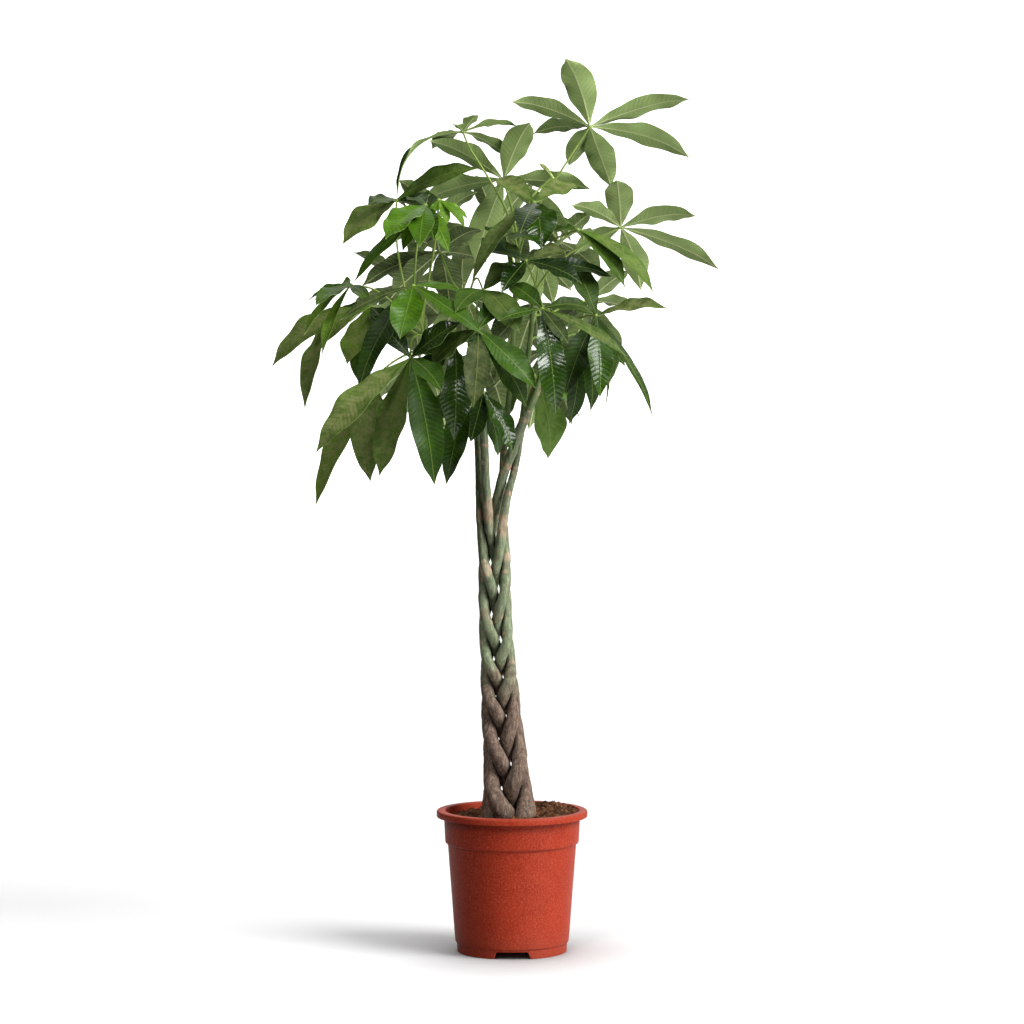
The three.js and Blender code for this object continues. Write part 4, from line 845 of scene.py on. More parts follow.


# %% [markdown]
# ## Leaves
#
# A leaf is a long stalk that ends in a small knob, and three to seven leaflets spring from the knob. A
# leaflet is longer than it is wide, broadest past its middle, and drawn to a point. Its rib is a shallow
# arch, its two halves rise from the rib, and its edges wave. Sun and age set its colour: bright yellow-green
# when it is new, then deep and glossy green above, and always paler and dull beneath, where the colour is
# also lightened as painted light shining through the leaf.
#
# The list below is the plant's habit, read from the photograph leaf by leaf: which leader a stalk leaves
# and how far up, the place of the knob, the side that the top faces, the stalk's course, and the leaflets.
# Each leaflet has the way from the knob to its tip and its width, and then its own arch, tone and dullness
# where they differ from the others'. tone is the age from 0, new, to 1, old, and dullness is the roughness
# of the upper side. Ten leaves at the back aren't in the photograph and follow how the plant grows.

# %% The list of leaves
TO_FRONT = (0, -0.6, 0.8)
TO_BACK = (0, 0.62, 0.78)
Leaf = namedtuple("Leaf", "number shoot at hub up stalk blades tone dullness", defaults=(0.85, 0.34))
LEAVES = [
    # Crown, seen from below
    Leaf(1, "top", 0.965, (107, 10, 1138), TO_BACK, [(26, 14, 1004), (42, 8, 1040), (56, 6, 1060)],
         [(-34, -62, 90, 45), (135, -25, 39, 37), (139, 25, -37, 39), (32, 70, -77, 41), (-28, 62, -48, 35),
         (-107, -10, 36, 34), (-76, 55, -3, 29)], 0.5),
    Leaf(2, "top", 1, (56, -14, 1068), TO_BACK, [(13, -7, 1008), (27, -15, 1040)],
         [(-19, -8, 19, 7), (4, -8, -16, 6), (-4, 6, -11, 5)], 0.0),
    Leaf(3, "top", 0.94, (-12, 0, 1065), TO_BACK, [(4, 8, 1004), (-1, 6, 1028)],
         [(36, -60, 76, 40), (-101, -30, 54, 37), (-117, 30, -30, 37), (-40, 40, -113, 44), (95, 40, -80, 37),
         (120, 0, -8, 35)], 0.6),
    Leaf(4, "top", 0.91, (-67, -50, 1127), (0, 0.2, 0.98),
         [(-7, -16, 1020), (-30, -32, 1062), (-44, -40, 1084), (-58, -48, 1106)],
         [(-90, -50, -87, 36, 0.2), (21, -36, 21, 20), (-11, -46, 7, 16), (74, 14, 11, 31), (65, 34, -32, 30),
         (-43, 30, -18, 28)], 0.65),
    # Crown, seen from above
    Leaf(5, "top", 0.88, (30, -90, 1029), TO_FRONT, [(16, -22, 985), (24, -60, 1012)],
         [(10, -60, -63, 46, 0.12, 0.75, 0.16), (-85, -40, -106, 22, 0.16, 0.5, 0.5), (-19, -90, -41, 34),
         (60, 70, 30, 34, 0.055, 0.4, 0.62), (-50, 80, 40, 34, 0.055, 0.4, 0.62)], 0.95, 0.24),
    Leaf(6, "left", 0.93, (-158, -20, 1036), (-0.15, -0.78, 0.61), [(-144, -30, 905), (-157, -18, 972)],
         [(112, -20, 45, 34, 0.055, 0.6), (-72, -40, -59, 42, 0.055, 0.36, 0.58), (-36, -60, -8, 26),
         (66, 24, -6, 28), (39, 62, -21, 28), (30, 70, -34, 26)], 0.7, 0.44),
    Leaf(7, "right", 0.985, (150, 10, 1000), TO_BACK, [(50, 10, 938), (82, 10, 966)],
         [(-8, -72, 63, 41), (101, -40, 17, 35), (138, 20, -54, 31), (30, 60, -83, 37), (-63, 62, -32, 34),
         (-70, -60, 30, 31)], 0.6),
    Leaf(8, "top", 0.82, (90, -50, 994), (0.1, -0.45, 0.88), [(30, -18, 960), (62, -36, 984)],
         [(64, -30, -76, 30, 0.055, 0.5), (104, -14, -82, 34, 0.055, 0.4, 0.5),
         (-52, -30, 27, 17, 0.055, 0.85), (-44, 30, -4, 26), (-42, 50, -38, 30, 0.055, 0.6, 0.55),
         (10, 96, -6, 32)], 0.62, 0.42),
    Leaf(9, "left", 0.965, (-116, -100, 1025), (-0.1, -0.62, 0.78), [(-134, -52, 905), (-128, -80, 972)],
         [(-98, -20, -101, 22, 0.02), (-51, -80, -45, 44), (-30, -50, -61, 24),
         (-6, -95, -56, 34, 0.055, 0.45), (12, -60, -47, 26, 0.055, 0.6), (32, -40, -63, 24, 0.12),
         (-20, 80, 14, 31, 0.055, 0.6)], 0.28),
    Leaf(10, "left", 0.895, (-99, -66, 1034), (0.1, -0.5, 0.86), [(-118, -42, 905), (-104, -54, 980)],
         [(12, -16, -33, 15), (36, -10, -37, 16), (40, 8, -24, 14), (-12, -12, -24, 11)], 0.15),
    Leaf(11, "left", 1, (-219, -60, 919), (-0.25, -0.5, 0.83), [(-160, -52, 893), (-190, -60, 914)],
         [(-30, 76, -8, 30), (-44, -66, -26, 31), (-62, -40, -65, 16, 0.1, 0.25),
         (-37, -60, -92, 15, 0.055, 0.25), (-59, 24, -18, 18), (30, -84, -23, 18)], 0.42, 0.42),
    Leaf(12, "back", 0.98, (-99, 10, 967), TO_BACK, [(-80, 14, 922), (-92, 8, 948)],
         [(58, -64, 30, 34), (63, 54, -10, 34), (12, 62, -72, 42), (-69, -8, -63, 42), (-110, 20, -45, 36),
         (-33, -72, 14, 31), (-3, -76, 19, 29)], 0.98),
    Leaf(13, "left", 0.75, (-193, -20, 890), (-0.3, -0.72, 0.62), [(-150, -48, 866), (-178, -36, 884)],
         [(-136, -20, -78, 39, 0.12, 0.12, 0.64), (-91, -40, -136, 38, 0.26, 0.1, 0.66),
         (-32, -50, -77, 40, 0.055, 0.16, 0.66), (40, -90, -50, 34, 0.055, 0.95, 0.4), (20, 92, -10, 33),
         (-60, 82, -20, 33), (-16, -24, -107, 30, 0.1)], 0.42, 0.46),
    Leaf(14, "left", 0.825, (-132, -130, 916), (0, -0.66, 0.75), [(-127, -64, 880), (-132, -104, 910)],
         [(-16, -62, -69, 45), (94, -44, -63, 26), (66, 24, -6, 16), (-97, -24, -43, 14, 0.055, 0.92, 0.45),
         (-74, -24, -138, 33, 0.1, 0.85, 0.4)], 0.48),
    # Middle, front
    Leaf(15, "left", 0.7, (-135, -150, 820), (0, -0.72, 0.7), [(-116, -76, 850), (-134, -118, 846)],
         [(-54, 24, 59, 34, 0.055, 0.95), (65, -24, 48, 36, 0.055, 0.85, 0.2), (83, 40, 30, 34),
         (43, -84, -41, 35, 0.055, 0.75), (33, -34, -167, 45, 0.08, 0.64),
         (-126, -34, -122, 41, 0.05, 0.42, 0.66), (-44, 14, -158, 40, 0.04, 0.4, 0.54)], 0.7, 0.38),
    Leaf(16, "left", 0.62, (-191, -60, 790), (-0.2, -0.6, 0.78), [(-124, -30, 832), (-160, -46, 816)],
         [(-78, -24, -167, 35, 0.02, 0.1, 0.66), (-2, -24, -136, 42, 0.08), (12, 24, -65, 31),
         (-60, 64, -60, 34)], 0.3, 0.6),
    Leaf(17, "back", 0.9, (-45, -170, 857), (0, -0.74, 0.67), [(-56, -30, 900), (-48, -110, 898)],
         [(-6, -44, -101, 35, 0.1, 0.9, 0.46), (78, -24, -76, 38), (66, 14, -102, 35, 0.055, 0.8),
         (-64, 30, -46, 33, 0.055, 0.8, 0.42), (36, 50, 40, 31, 0.055, 0.8)], 0.5, 0.36),
    Leaf(18, "back", 0.82, (-77, -110, 839), (0, -0.7, 0.7), [(-68, -28, 880), (-76, -78, 866)],
         [(-1, -34, -127, 41, 0.1, 0.7, 0.26), (-66, -24, -66, 33), (44, 54, 10, 31), (-40, 66, 10, 31)],
         0.75, 0.36),
    Leaf(19, "back", 0.52, (-61, -60, 790), (0, -0.6, 0.8), [(-60, -20, 834), (-62, -46, 814)],
         [(-29, -24, -140, 35, 0.08, 0.6), (34, 24, -66, 29), (-66, -34, -74, 31)], 0.8),
    Leaf(20, "back", 0.42, (-39, -62, 773), (0.1, -0.6, 0.8), [(-48, -20, 812), (-42, -46, 798)],
         [(41, -24, -80, 31, 0.055, 0.65, 0.27), (22, 24, -87, 30), (-17, -34, -65, 29)], 0.8),
    Leaf(21, "front", 0.93, (40, -150, 885), (0, -0.7, 0.7), [(55, -70, 866), (48, -114, 886)],
         [(18, -44, -137, 39, 0.1, 0.8, 0.14), (112, -24, -60, 17, 0.055, 0.5, 0.5), (69, 30, -3, 26, 0.13),
         (34, -34, -44, 22), (-58, -40, -14, 16, 0.055, 0.6), (-44, 44, 34, 31)], 0.82, 0.4),
    Leaf(22, "front", 0.86, (114, -90, 877), (0.15, -0.6, 0.8), [(68, -58, 862), (98, -80, 876)],
         [(92, -44, 12, 34, 0.055, 0.45, 0.66), (-33, 60, 80, 37), (-70, 30, 15, 26),
         (-43, -24, -105, 37, 0.1, 0.85), (4, -54, -108, 34, 0.08, 0.65, 0.26), (20, 24, -92, 26, 0.055, 0.5),
         (80, 14, -134, 15, 0.07)], 0.72, 0.4),
    Leaf(23, "front", 0.76, (94, -20, 852), (0.2, -0.4, 0.88), [(62, -32, 842), (82, -24, 852)],
         [(15, -20, -103, 31, 0.1), (40, 44, -92, 31, 0.1), (-14, 14, -123, 27, 0.08), (60, -60, -40, 30)],
         0.7),
    Leaf(24, "front", 1, (19, -80, 951), (0.05, -0.6, 0.8), [(43, -50, 884), (30, -66, 924)],
         [(75, -30, -29, 33, 0.055, 1), (118, 24, -18, 26), (60, 44, 18, 26, 0.055, 0.75, 0.5),
         (-56, -40, 13, 33, 0.055, 1), (-33, -60, -42, 28, 0.055, 0.95, 0.22),
         (-58, 50, 26, 30, 0.055, 0.8, 0.5)], 0.9, 0.32),
    Leaf(25, "right", 0.3, (31, 46, 796), (0.15, -0.62, 0.77), [(27, 34, 806)],
         [(21, 16, -116, 48, 0.1), (66, 50, -56, 35), (-40, 60, -74, 34)], 0.5, 0.44),
    Leaf(26, "back", 0.94, (-39, -110, 911), (0, -0.72, 0.7), [(-54, -20, 922), (-46, -76, 927)],
         [(49, -44, -55, 43), (45, 40, 40, 35), (-36, -64, -28, 33)], 0.65, 0.44),
    Leaf(27, "right", 0.95, (36, 44, 958), TO_BACK, [(34, 24, 926), (36, 36, 944)],
         [(-29, 8, -58, 27), (-8, 20, -70, 29), (22, 44, -62, 29), (47, 54, -41, 29)], 0.8),
    Leaf(28, "top", 0.85, (-10, -20, 986), (0, -0.5, 0.86), [(0, -4, 968)],
         [(39, -50, -6, 34), (-26, -64, -26, 33), (10, 64, -62, 34), (-21, 40, 16, 29)], 0.7),
    # Back
    Leaf(29, "left", 0.79, (-150, 70, 924), (-0.2, 0.5, 0.84), [(-122, 6, 872), (-140, 44, 908)],
         [(-80, 50, -50, 37), (-30, 96, -66, 38), (50, 86, -44, 37), (20, 44, -104, 37, 0.1), (84, 30, 4, 33),
         (-70, 10, 46, 31)]),
    Leaf(30, "back", 0.86, (-70, 130, 912), (0, 0.6, 0.8), [(-64, 62, 896), (-68, 104, 910)],
         [(-84, 60, -66, 37), (0, 100, -66, 41), (80, 60, -44, 38), (34, 30, -118, 37, 0.1),
         (-44, 24, -116, 37, 0.1), (4, -60, 70, 33)]),
    Leaf(31, "right", 0.7, (34, 140, 900), (0, 0.62, 0.78), [(32, 60, 876), (34, 108, 892)],
         [(-70, 60, -70, 37), (6, 100, -70, 41), (84, 56, -50, 38), (40, 24, -120, 37, 0.1),
         (-36, 20, -112, 37, 0.1)], 0.9),
    Leaf(32, "right", 0.8, (108, 100, 900), (0.2, 0.5, 0.84), [(56, 44, 884), (84, 78, 900)],
         [(61, 40, -10, 37), (14, 100, -60, 39), (-56, 80, -34, 37), (38, 24, -104, 37, 0.1),
         (-30, 34, -106, 35, 0.1), (56, -24, 44, 33)]),
    Leaf(33, "top", 0.78, (-20, 90, 1006), (0, 0.6, 0.8), [(0, 44, 958), (-12, 72, 988)],
         [(-86, 40, -46, 35), (-40, 90, -60, 37), (40, 90, -50, 37), (86, 40, -20, 35), (-30, -30, 70, 31),
         (50, -10, 60, 31)], 0.8),
    Leaf(34, "left", 0.5, (-118, 90, 824), (-0.2, 0.5, 0.84), [(-92, 6, 830), (-108, 54, 838)],
         [(-84, 30, -70, 37), (-50, 50, -116, 37, 0.1), (24, 60, -104, 37, 0.1), (60, 66, -20, 35),
         (-70, 60, 30, 33)], 0.9),
    Leaf(35, "right", 0.5, (44, 100, 832), (0.1, 0.6, 0.8), [(28, 44, 846), (38, 78, 848)],
         [(-70, 50, -50, 35), (-20, 60, -112, 37, 0.1), (42, 44, -104, 37, 0.1), (80, 50, -30, 35)], 0.95),
    Leaf(36, "top", 0.74, (66, 92, 984), (0.1, 0.6, 0.8), [(8, 60, 942), (38, 88, 966)],
         [(60, 60, -46, 35), (20, 90, -60, 37), (-50, 74, -50, 35), (44, -16, 40, 29), (-44, -10, 54, 29)]),
    Leaf(37, "left", 0.86, (-106, 50, 1012), (-0.1, 0.55, 0.84), [(-120, 22, 900), (-110, 44, 968)],
         [(-84, 34, -40, 35), (-36, 80, -56, 37), (46, 74, -40, 35), (-50, -10, 56, 31), (56, 0, 40, 31)],
         0.7),
    Leaf(38, "back", 0.66, (-50, 110, 830), (0, 0.62, 0.78), [(-58, 50, 854), (-54, 86, 846)],
         [(-76, 50, -60, 36), (-24, 40, -124, 37, 0.1), (40, 60, -104, 36, 0.1), (64, 66, -10, 34)], 0.9),
]
print(f"{len(LEAVES)} leaves with {sum(len(leaf.blades) for leaf in LEAVES)} leaflets")

# %% Leaders, now that the places of the stalks are known
for shoot in SHOOTS:
    places = [leaf.at for leaf in LEAVES if leaf.shoot == shoot.name]
    node = f"shoot_{shoot.name}"
    make_piece(f"green_{node}", shoot_skin(shoot, places), [young_bark], [node])
    print(f"{node}: {len(places)} stalks leave it")

# %% [markdown]
# ## Leaf finishes
#
# A leaflet has about a dozen side veins to each side. They leave the rib at a wide angle and sweep forward
# near the edge. If the distance along the blade is moved back by what the vein has swept, every point of
# one vein gets the same number, and whole numbers are veins. That number, from the UV map, draws the veins
# and puffs up the blade between them. On the upper side the veins are sunk, and below they stand out.
#
# The upper sides differ most in how they shine. Some have a wet gloss, which is a clear coat here. On dull
# ones a pale bloom hides the green in patches, least along the edges: partly dust and wax, and partly
# painted sheen and painted light. Both follow from the dullness that the points of each leaflet carry.

# %% Veins
VEIN_SPACING = 0.68  # centimetres, like the UV map
RIB_WIDTH = 0.042


def vein_nodes(finish):
    """Distance from the rib, and distance from the nearest side vein in shares of the spacing, 0 to 0.5."""
    place = finish.node("ShaderNodeUVMap", "UV", {"uv_map": "blade"})
    split = finish.node("ShaderNodeSeparateXYZ", None, Vector=place)
    across = finish.maths("ABSOLUTE", split["X"])
    swept = finish.times(across, finish.maths("MULTIPLY_ADD", across, 0.13, 0.42))
    start = finish.maths("DIVIDE", finish.maths("SUBTRACT", split["Y"], swept), VEIN_SPACING)
    staggered = finish.maths("MULTIPLY_ADD", finish.maths("GREATER_THAN", split["X"], 0), 0.45, start)
    uneven = finish.maths("MULTIPLY_ADD", finish.noise(place, 0.55, 1), 0.7, staggered)
    return place, across, finish.maths("PINGPONG", uneven, 0.5)


def growth_nodes(finish):
    """What the points carry: the share of the half width, the share of the length, the tone, the dullness."""
    carried = finish.node("ShaderNodeAttribute", None, {"attribute_name": "growth"})
    split = finish.node("ShaderNodeSeparateColor", None, Color=carried["Color"])
    return split[0], split[1], split[2], carried["Alpha"]


def aged(finish, tone, cloud, by):
    """The tone with clouds laid over it, which make it older or younger by up to half of by."""
    return finish.maths("MULTIPLY_ADD", finish.maths("SUBTRACT", cloud, 0.5), by, tone)


# %% Upper side
# the pale bloom of dull leaflets is partly dust and wax, and partly painted sheen and painted light
BLOOM_AND_SHEEN, SHINES = (0.34, 0.64), (0.34, 0.18)  # dullness where the bloom or the coat begins and is full


def leaf_top_finish():
    """Green by age, mottled, with pale patches where it is dull, partly dust and wax and partly painted
    sheen, sunken veins and a pale rib.
    """
    finish = Finish("leaf_top", Specular_IOR_Level=0.2, Coat_Roughness=0.13)
    place, across, from_vein = vein_nodes(finish)
    edge, share, tone, dullness = growth_nodes(finish)
    cloud = finish.noise(finish.object_place(), 28, 3, 0.55)
    mottle = finish.noise(finish.object_place(), 95, 5, 0.65)
    net = finish.cells(place, 3.4, "DISTANCE_TO_EDGE")
    fresh = finish.colours(
        aged(finish, tone, cloud, 0.5), (0.0, (0.17, 0.35, 0.006)), (0.30, (0.080, 0.205, 0.005)),
        (0.60, (0.037, 0.100, 0.004)), (0.95, (0.008, 0.030, 0.0025)))
    mottled = finish.blend(finish.rise(mottle, 0.62, 0.36, 0.45), fresh, (0.42, 0.42, 0.42), "MULTIPLY")
    inner = finish.times(finish.rise(edge, 1.6, 0.4), finish.rise(share, 0, 0.3))
    patchy = finish.times(finish.rise(mottle, 0.34, 0.62, low=0.3), inner)
    # painted sheen and painted light: pale patches on dull leaflets, partly dust and wax
    bloom_and_sheen = finish.times(finish.rise(dullness, *BLOOM_AND_SHEEN, 0.85), patchy)
    colour = finish.layered(
        mottled, (bloom_and_sheen, (0.25, 0.27, 0.10)),
        (finish.rise(from_vein, 0.20, 0, 0.20), (0.10, 0.17, 0.025)),
        (finish.rise(across, RIB_WIDTH * 1.9, RIB_WIDTH * 0.7, 0.6), (0.20, 0.28, 0.05)))
    puffed = finish.maths("POWER", finish.times(from_vein, 2), 0.6)
    finish.relief((puffed, 0.28), (net, 0.18), (mottle, 0.5))
    return finish.done(Base_Color=colour, Roughness=finish.maths("MULTIPLY_ADD", cloud, 0.12, dullness),
                       Coat_Weight=finish.rise(dullness, *SHINES))


# %% Under side
def leaf_under_finish():
    """Pale green by age, lightened as painted light through the leaf, with raised veins and a broad pale rib.
    """
    finish = Finish("leaf_underside", Specular_IOR_Level=0.3, Roughness=0.62)
    _, across, from_vein = vein_nodes(finish)
    _, _, tone, _ = growth_nodes(finish)
    cloud = finish.noise(finish.object_place(), 30, 3, 0.55)
    vein = finish.rise(from_vein, 0.09, 0.02)
    # painted light: these pale colours are partly the underside's own and partly light shining through the
    # leaf
    flesh_and_painted_backlight = finish.colours(
        aged(finish, tone, cloud, 0.6), (0.0, (0.48, 0.66, 0.10)), (0.4, (0.50, 0.69, 0.235)),
        (0.7, (0.39, 0.53, 0.185)), (1.0, (0.15, 0.21, 0.07)))
    rib = finish.rise(across, RIB_WIDTH * 2.8, RIB_WIDTH * 1.3)
    finish.relief((vein, 0.5), (finish.times(from_vein, 2), 0.35))
    return finish.done(Base_Color=finish.layered(
        flesh_and_painted_backlight, (finish.times(vein, 0.5), (0.52, 0.66, 0.27)), (rib, (0.84, 0.92, 0.44))))


leaf_top, leaf_under = leaf_top_finish(), leaf_under_finish()

# %% [markdown]
# ## Leaf shapes
#
# The plain solids bend a leaflet to the front or the back where it would cross another. How far isn't in
# the list, so it is read from the node: the corner nearest to the listed tip, seen from the front, shows how
# far back the tip really lies.
#
# A leaflet is then a row of flat rings along its rib. It is worked out in three steps: the course of the rib
# with the way across and the way up at each of its points, the section that stands on it, and what each
# point carries for the finishes.

# %% How far each leaflet is bent
SURE_TIP = 6.0


def tips_of(leaf):
    """The tip of each leaflet: as listed from the front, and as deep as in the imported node."""
    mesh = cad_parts[f"leaf_{leaf.number:02d}"].data
    flat = np.empty(3 * len(mesh.vertices))
    mesh.vertices.foreach_get("co", flat)
    corners = (flat.reshape(-1, 3) - POT_AXIS) / MM
    tips = np.array(leaf.hub) + np.array([blade[:3] for blade in leaf.blades], dtype=float)
    listed_depth = tips[:, 1].copy()
    off = np.linalg.norm(corners[None, :, [0, 2]] - tips[:, None, [0, 2]], axis=2)
    sure = off.min(axis=1) < SURE_TIP
    tips[sure, 1] = corners[off.argmin(axis=1)[sure], 1]
    return tips, np.abs(tips[:, 1] - listed_depth).max()


# %% The course of a leaflet
BLADE_ROWS, BLADE_COLUMNS = 40, 13
BLADE_ARCH, ROOT_START = 0.055, 0.6
SWAY, NOD, TWIST = 0.03, 0.035, 0.22
CURLS, CURL_REACH = {(13, 1): (0.58, 0.6)}, 0.11  # leaf and leaflet: where along it, how far it turns


def looks_of(leaf, blade):
    """Width, arch, tone and dullness of a leaflet: its own where they're listed, else the leaf's."""
    usual = (None, BLADE_ARCH, leaf.tone, leaf.dullness)
    return blade[3:] + usual[len(blade) - 3:]


def blade_course(leaf, number, tip, arch, chance, lively):
    """A leaflet's length, and at each row t, the share of it, the rib, the way across and the way up.

    The rib runs from the knob to the tip in a shallow parabola, 4 arch length t (1 - t) high, and turns
    down a little more at its point. A curl turns the blade about its rib over a short stretch.
    """
    hub = np.array(leaf.hub, dtype=float)
    reach = tip - hub
    length = np.linalg.norm(reach)
    up = np.array(leaf.up, dtype=float)
    outward = reach / length
    lift = unit(up - outward * (up @ outward))
    s = np.linspace(0, 1, BLADE_ROWS)
    t = ROOT_START / length + (1 - ROOT_START / length) * (0.6 * s + 0.4 * (1 - np.cos(np.pi * s)) / 2)
    nod = NOD * length * smooth(t, 0.72, 1.05)
    rib = hub + reach * t[:, None] + lift * (4 * arch * length * t * (1 - t) - nod)[:, None]
    tangent = unit(np.gradient(rib, axis=0))
    normal = unit(lift - tangent * (tangent @ lift)[:, None])
    side = np.cross(normal, tangent)
    curl_at, curl_turn = CURLS.get((leaf.number, number), (0.5, 0))
    twist = TWIST * chance[1] * lively * t ** 2 + curl_turn * np.exp(-((t - curl_at) / CURL_REACH) ** 2)
    side, normal = (side * np.cos(twist)[:, None] + normal * np.sin(twist)[:, None],
                    normal * np.cos(twist)[:, None] - side * np.sin(twist)[:, None])
    return length, t, rib, side, normal


# %% The section of a leaflet
SLIM, LEAST_HALF = 0.9, 0.12
BLADE_THICKNESS, BLADE_FOLD, FOLD_VARIES = 0.45, 0.21, 0.05
WAVE, BUCKLE, BUCKLE_SIZE = 0.055, 0.035, 34
RIB_ABOVE, RIB_ABOVE_REACH, RIB_BELOW, RIB_BELOW_REACH = 0.4, 0.7, 0.9, 0.9
ROOT_SWELLING, ROOT_REACH = 0.8, 7


def fullness(t):
    """The share of the half width along a leaflet: a slim root, widest past the middle, a drawn-out tip."""
    body = np.sin(np.pi * np.clip(t, 0, 1) ** 1.2) ** 0.9
    return body * (1 - 0.30 * smooth(t, 0.86, 0.97))


def blade_heights(leaf, length, t, rib, side, width, chance, lively):
    """u, and for each row and column how far across a blade's points lie, and how high above and below.

    u goes from 1 at the right edge to -1 at the left. The blade lies u times the half width to the side,
    rises as |u|^1.6 to make a shallow trough, and waves at its edges as u^2 times a sine of t. The same
    curve a blade's thickness lower is the under side, where the rib stands out as a bell in the distance
    across.
    """
    uneven = 1 + 0.05 * np.sin((12 + 3 * chance[2]) * t + 3 + 3 * chance[3])
    half = np.maximum(width / 2 * fullness(t) * uneven, SLIM * (1 - smooth(t, 0.93, 1)) + LEAST_HALF)
    even = np.linspace(1, -1, BLADE_COLUMNS)
    u = even * (0.35 + 0.65 * even ** 2)
    across = half[:, None] * u
    waves, phases = 2.9 + 0.7 * chance[4:6], np.pi * (1 + chance[6:8])
    right, left = (np.sin(2 * np.pi * (n * t + 0.06 * np.sin(5 * t)) + phase)[:, None]
                   for n, phase in zip(waves, phases))
    wave = np.where(u > 0, right, left) * u ** 2 * (WAVE * lively * width * fullness(t))[:, None]
    steepness = BLADE_FOLD * (1 + lively) / 2 + FOLD_VARIES * lively * chance[8]
    fold = steepness * half[:, None] * np.abs(u) ** 1.6
    bumps = lumps(rib[:, None] + side[:, None] * across[..., None], BUCKLE_SIZE, leaf.number)
    height = fold + wave + BUCKLE * lively * width * bumps * np.abs(u) * fullness(t)[:, None]
    root = ROOT_SWELLING * np.exp(-(t * length / ROOT_REACH) ** 2)[:, None]
    above = height + RIB_ABOVE * np.exp(-(across / RIB_ABOVE_REACH) ** 2) + root
    below = (height - BLADE_THICKNESS
             - (RIB_BELOW * (1 - 0.6 * t[:, None])) * np.exp(-(across / RIB_BELOW_REACH) ** 2) - root)
    return u, across, above, below


# %% One leaflet
TOP, UNDERSIDE, STALK = range(3)  # which of a leaf's finishes a face has
ring_column = np.tile(np.arange(2 * BLADE_COLUMNS), BLADE_ROWS - 1)
BLADE_SIDES = np.where(ring_column < BLADE_COLUMNS - 1, TOP, UNDERSIDE)


def marks_of(sheet):
    """Both sides' values of a blade as one row a point, with those of its middle for its two ends."""
    whole = np.concatenate([sheet, sheet[:, ::-1]], axis=1)
    return np.vstack([whole.reshape(-1, whole.shape[-1]), whole[[0, -1], BLADE_COLUMNS // 2]])


def blade_skin(leaf, number, tip, chance, lively, bow):
    """One leaflet as a closed thin shell, with its UV map in centimetres and its growth values.

    chance holds eleven random values from -1 to 1. lively scales the waves, twist and sway, and bow is
    added to the arch.
    """
    width, arch, tone, dullness = looks_of(leaf, leaf.blades[number])
    length, t, rib, side, normal = blade_course(leaf, number, tip, arch + bow, chance, lively)
    u, across, above, below = blade_heights(leaf, length, t, rib, side, width, chance, lively)
    sway = SWAY * chance[0] * lively * length * np.sin(np.pi * t)

    def surface(heights):
        return (rib[:, None] + side[:, None] * (across + sway[:, None])[..., None]
                + normal[:, None] * heights[..., None])

    points, quads, fans = closed_skin(np.concatenate([surface(above), surface(below)[:, ::-1]], axis=1))
    lower = ring_column >= BLADE_COLUMNS
    quads[lower] = np.roll(quads[lower], 1, axis=1)  # so that both sides are split along one diagonal
    along = t[:, None] * length / 10 + 40 * number
    uv = np.stack(np.broadcast_arrays(across / 10, along), axis=-1)
    growth = np.stack(np.broadcast_arrays(np.abs(u), t[:, None], np.clip(tone + 0.08 * chance[9], 0, 1),
                                          dullness + 0.035 * chance[10]), axis=-1)
    return (points, quads, fans), marks_of(uv), marks_of(growth)


# %% Stalk and knob
STALK_FOOT_RADIUS, STALK_TIP_RADIUS = 1.8, 1.2
SWOLLEN_FOOT, SWOLLEN_REACH = 1.2, 7
KNOB_RADIUS, KNOB_SHARE, KNOB_LENGTH = 3.0, 0.24, 0.75
STALK_STEPS, STALK_SIDES, SHOOT_PLACES = 60, 12, 400


def stalk_skin(leaf):
    """A thin tube from inside the leader to the knob. It swells at its foot, and rounds off as the knob."""
    shoot = next(one for one in SHOOTS if one.name == leaf.shoot)
    course = smooth_path(shoot.points, SHOOT_PLACES)
    foot = course[int(round(leaf.at * (SHOOT_PLACES - 1)))]
    path = smooth_path(np.vstack([foot, leaf.stalk, leaf.hub]), STALK_STEPS)
    knob = np.linspace(0, 1, 9)[1:]
    ahead = unit(path[-1] - path[-2])
    size = min(KNOB_RADIUS, KNOB_SHARE * max(blade[3] for blade in leaf.blades))
    path = np.vstack([path, path[-1] + KNOB_LENGTH * size * knob[:, None] * ahead])
    travelled = distances(path)
    radii = np.interp(travelled, travelled[[0, -1]], (STALK_FOOT_RADIUS, STALK_TIP_RADIUS))
    radii += SWOLLEN_FOOT * np.exp(-(travelled / SWOLLEN_REACH) ** 2)
    left = travelled[-1] - travelled
    round_end = size * np.sqrt(np.clip(1 - (1 - left / (0.9 * size)) ** 2, 0, 1))
    radii = np.where(left > size, radii, np.minimum(radii, round_end + LEAST_RADIUS))
    radii = np.maximum(radii, round_end * (left < 1.8 * size))
    return closed_skin(tube_rings(path, np.maximum(radii, LEAST_RADIUS), STALK_SIDES))


# %% Room among the leaves
# Real leaflets rest on each other but never cut through. Each blade is tried with all its waves, with ever
# fewer, and then bowed up or down, while it cuts a stalk or a blade that is already there. Close to a knob
# they do meet. Each form is how lively the blade is, and what is added to its arch.
CLEAR_OF_KNOB = 14.0
FORMS = [(1, 0), (0.6, 0), (0.3, 0)] + [(0.1, bow) for bow in (0, 0.05, -0.05, 0.1, -0.1)]


def stand(skin, hub):
    """The box of a skin and a search tree of its faces, without those close to the knob."""
    points, quads = skin[:2]
    far = np.linalg.norm(points[quads].mean(axis=1) - hub, axis=1) > CLEAR_OF_KNOB
    return points.min(axis=0), points.max(axis=0), BVHTree.FromPolygons(points.tolist(), quads[far].tolist())


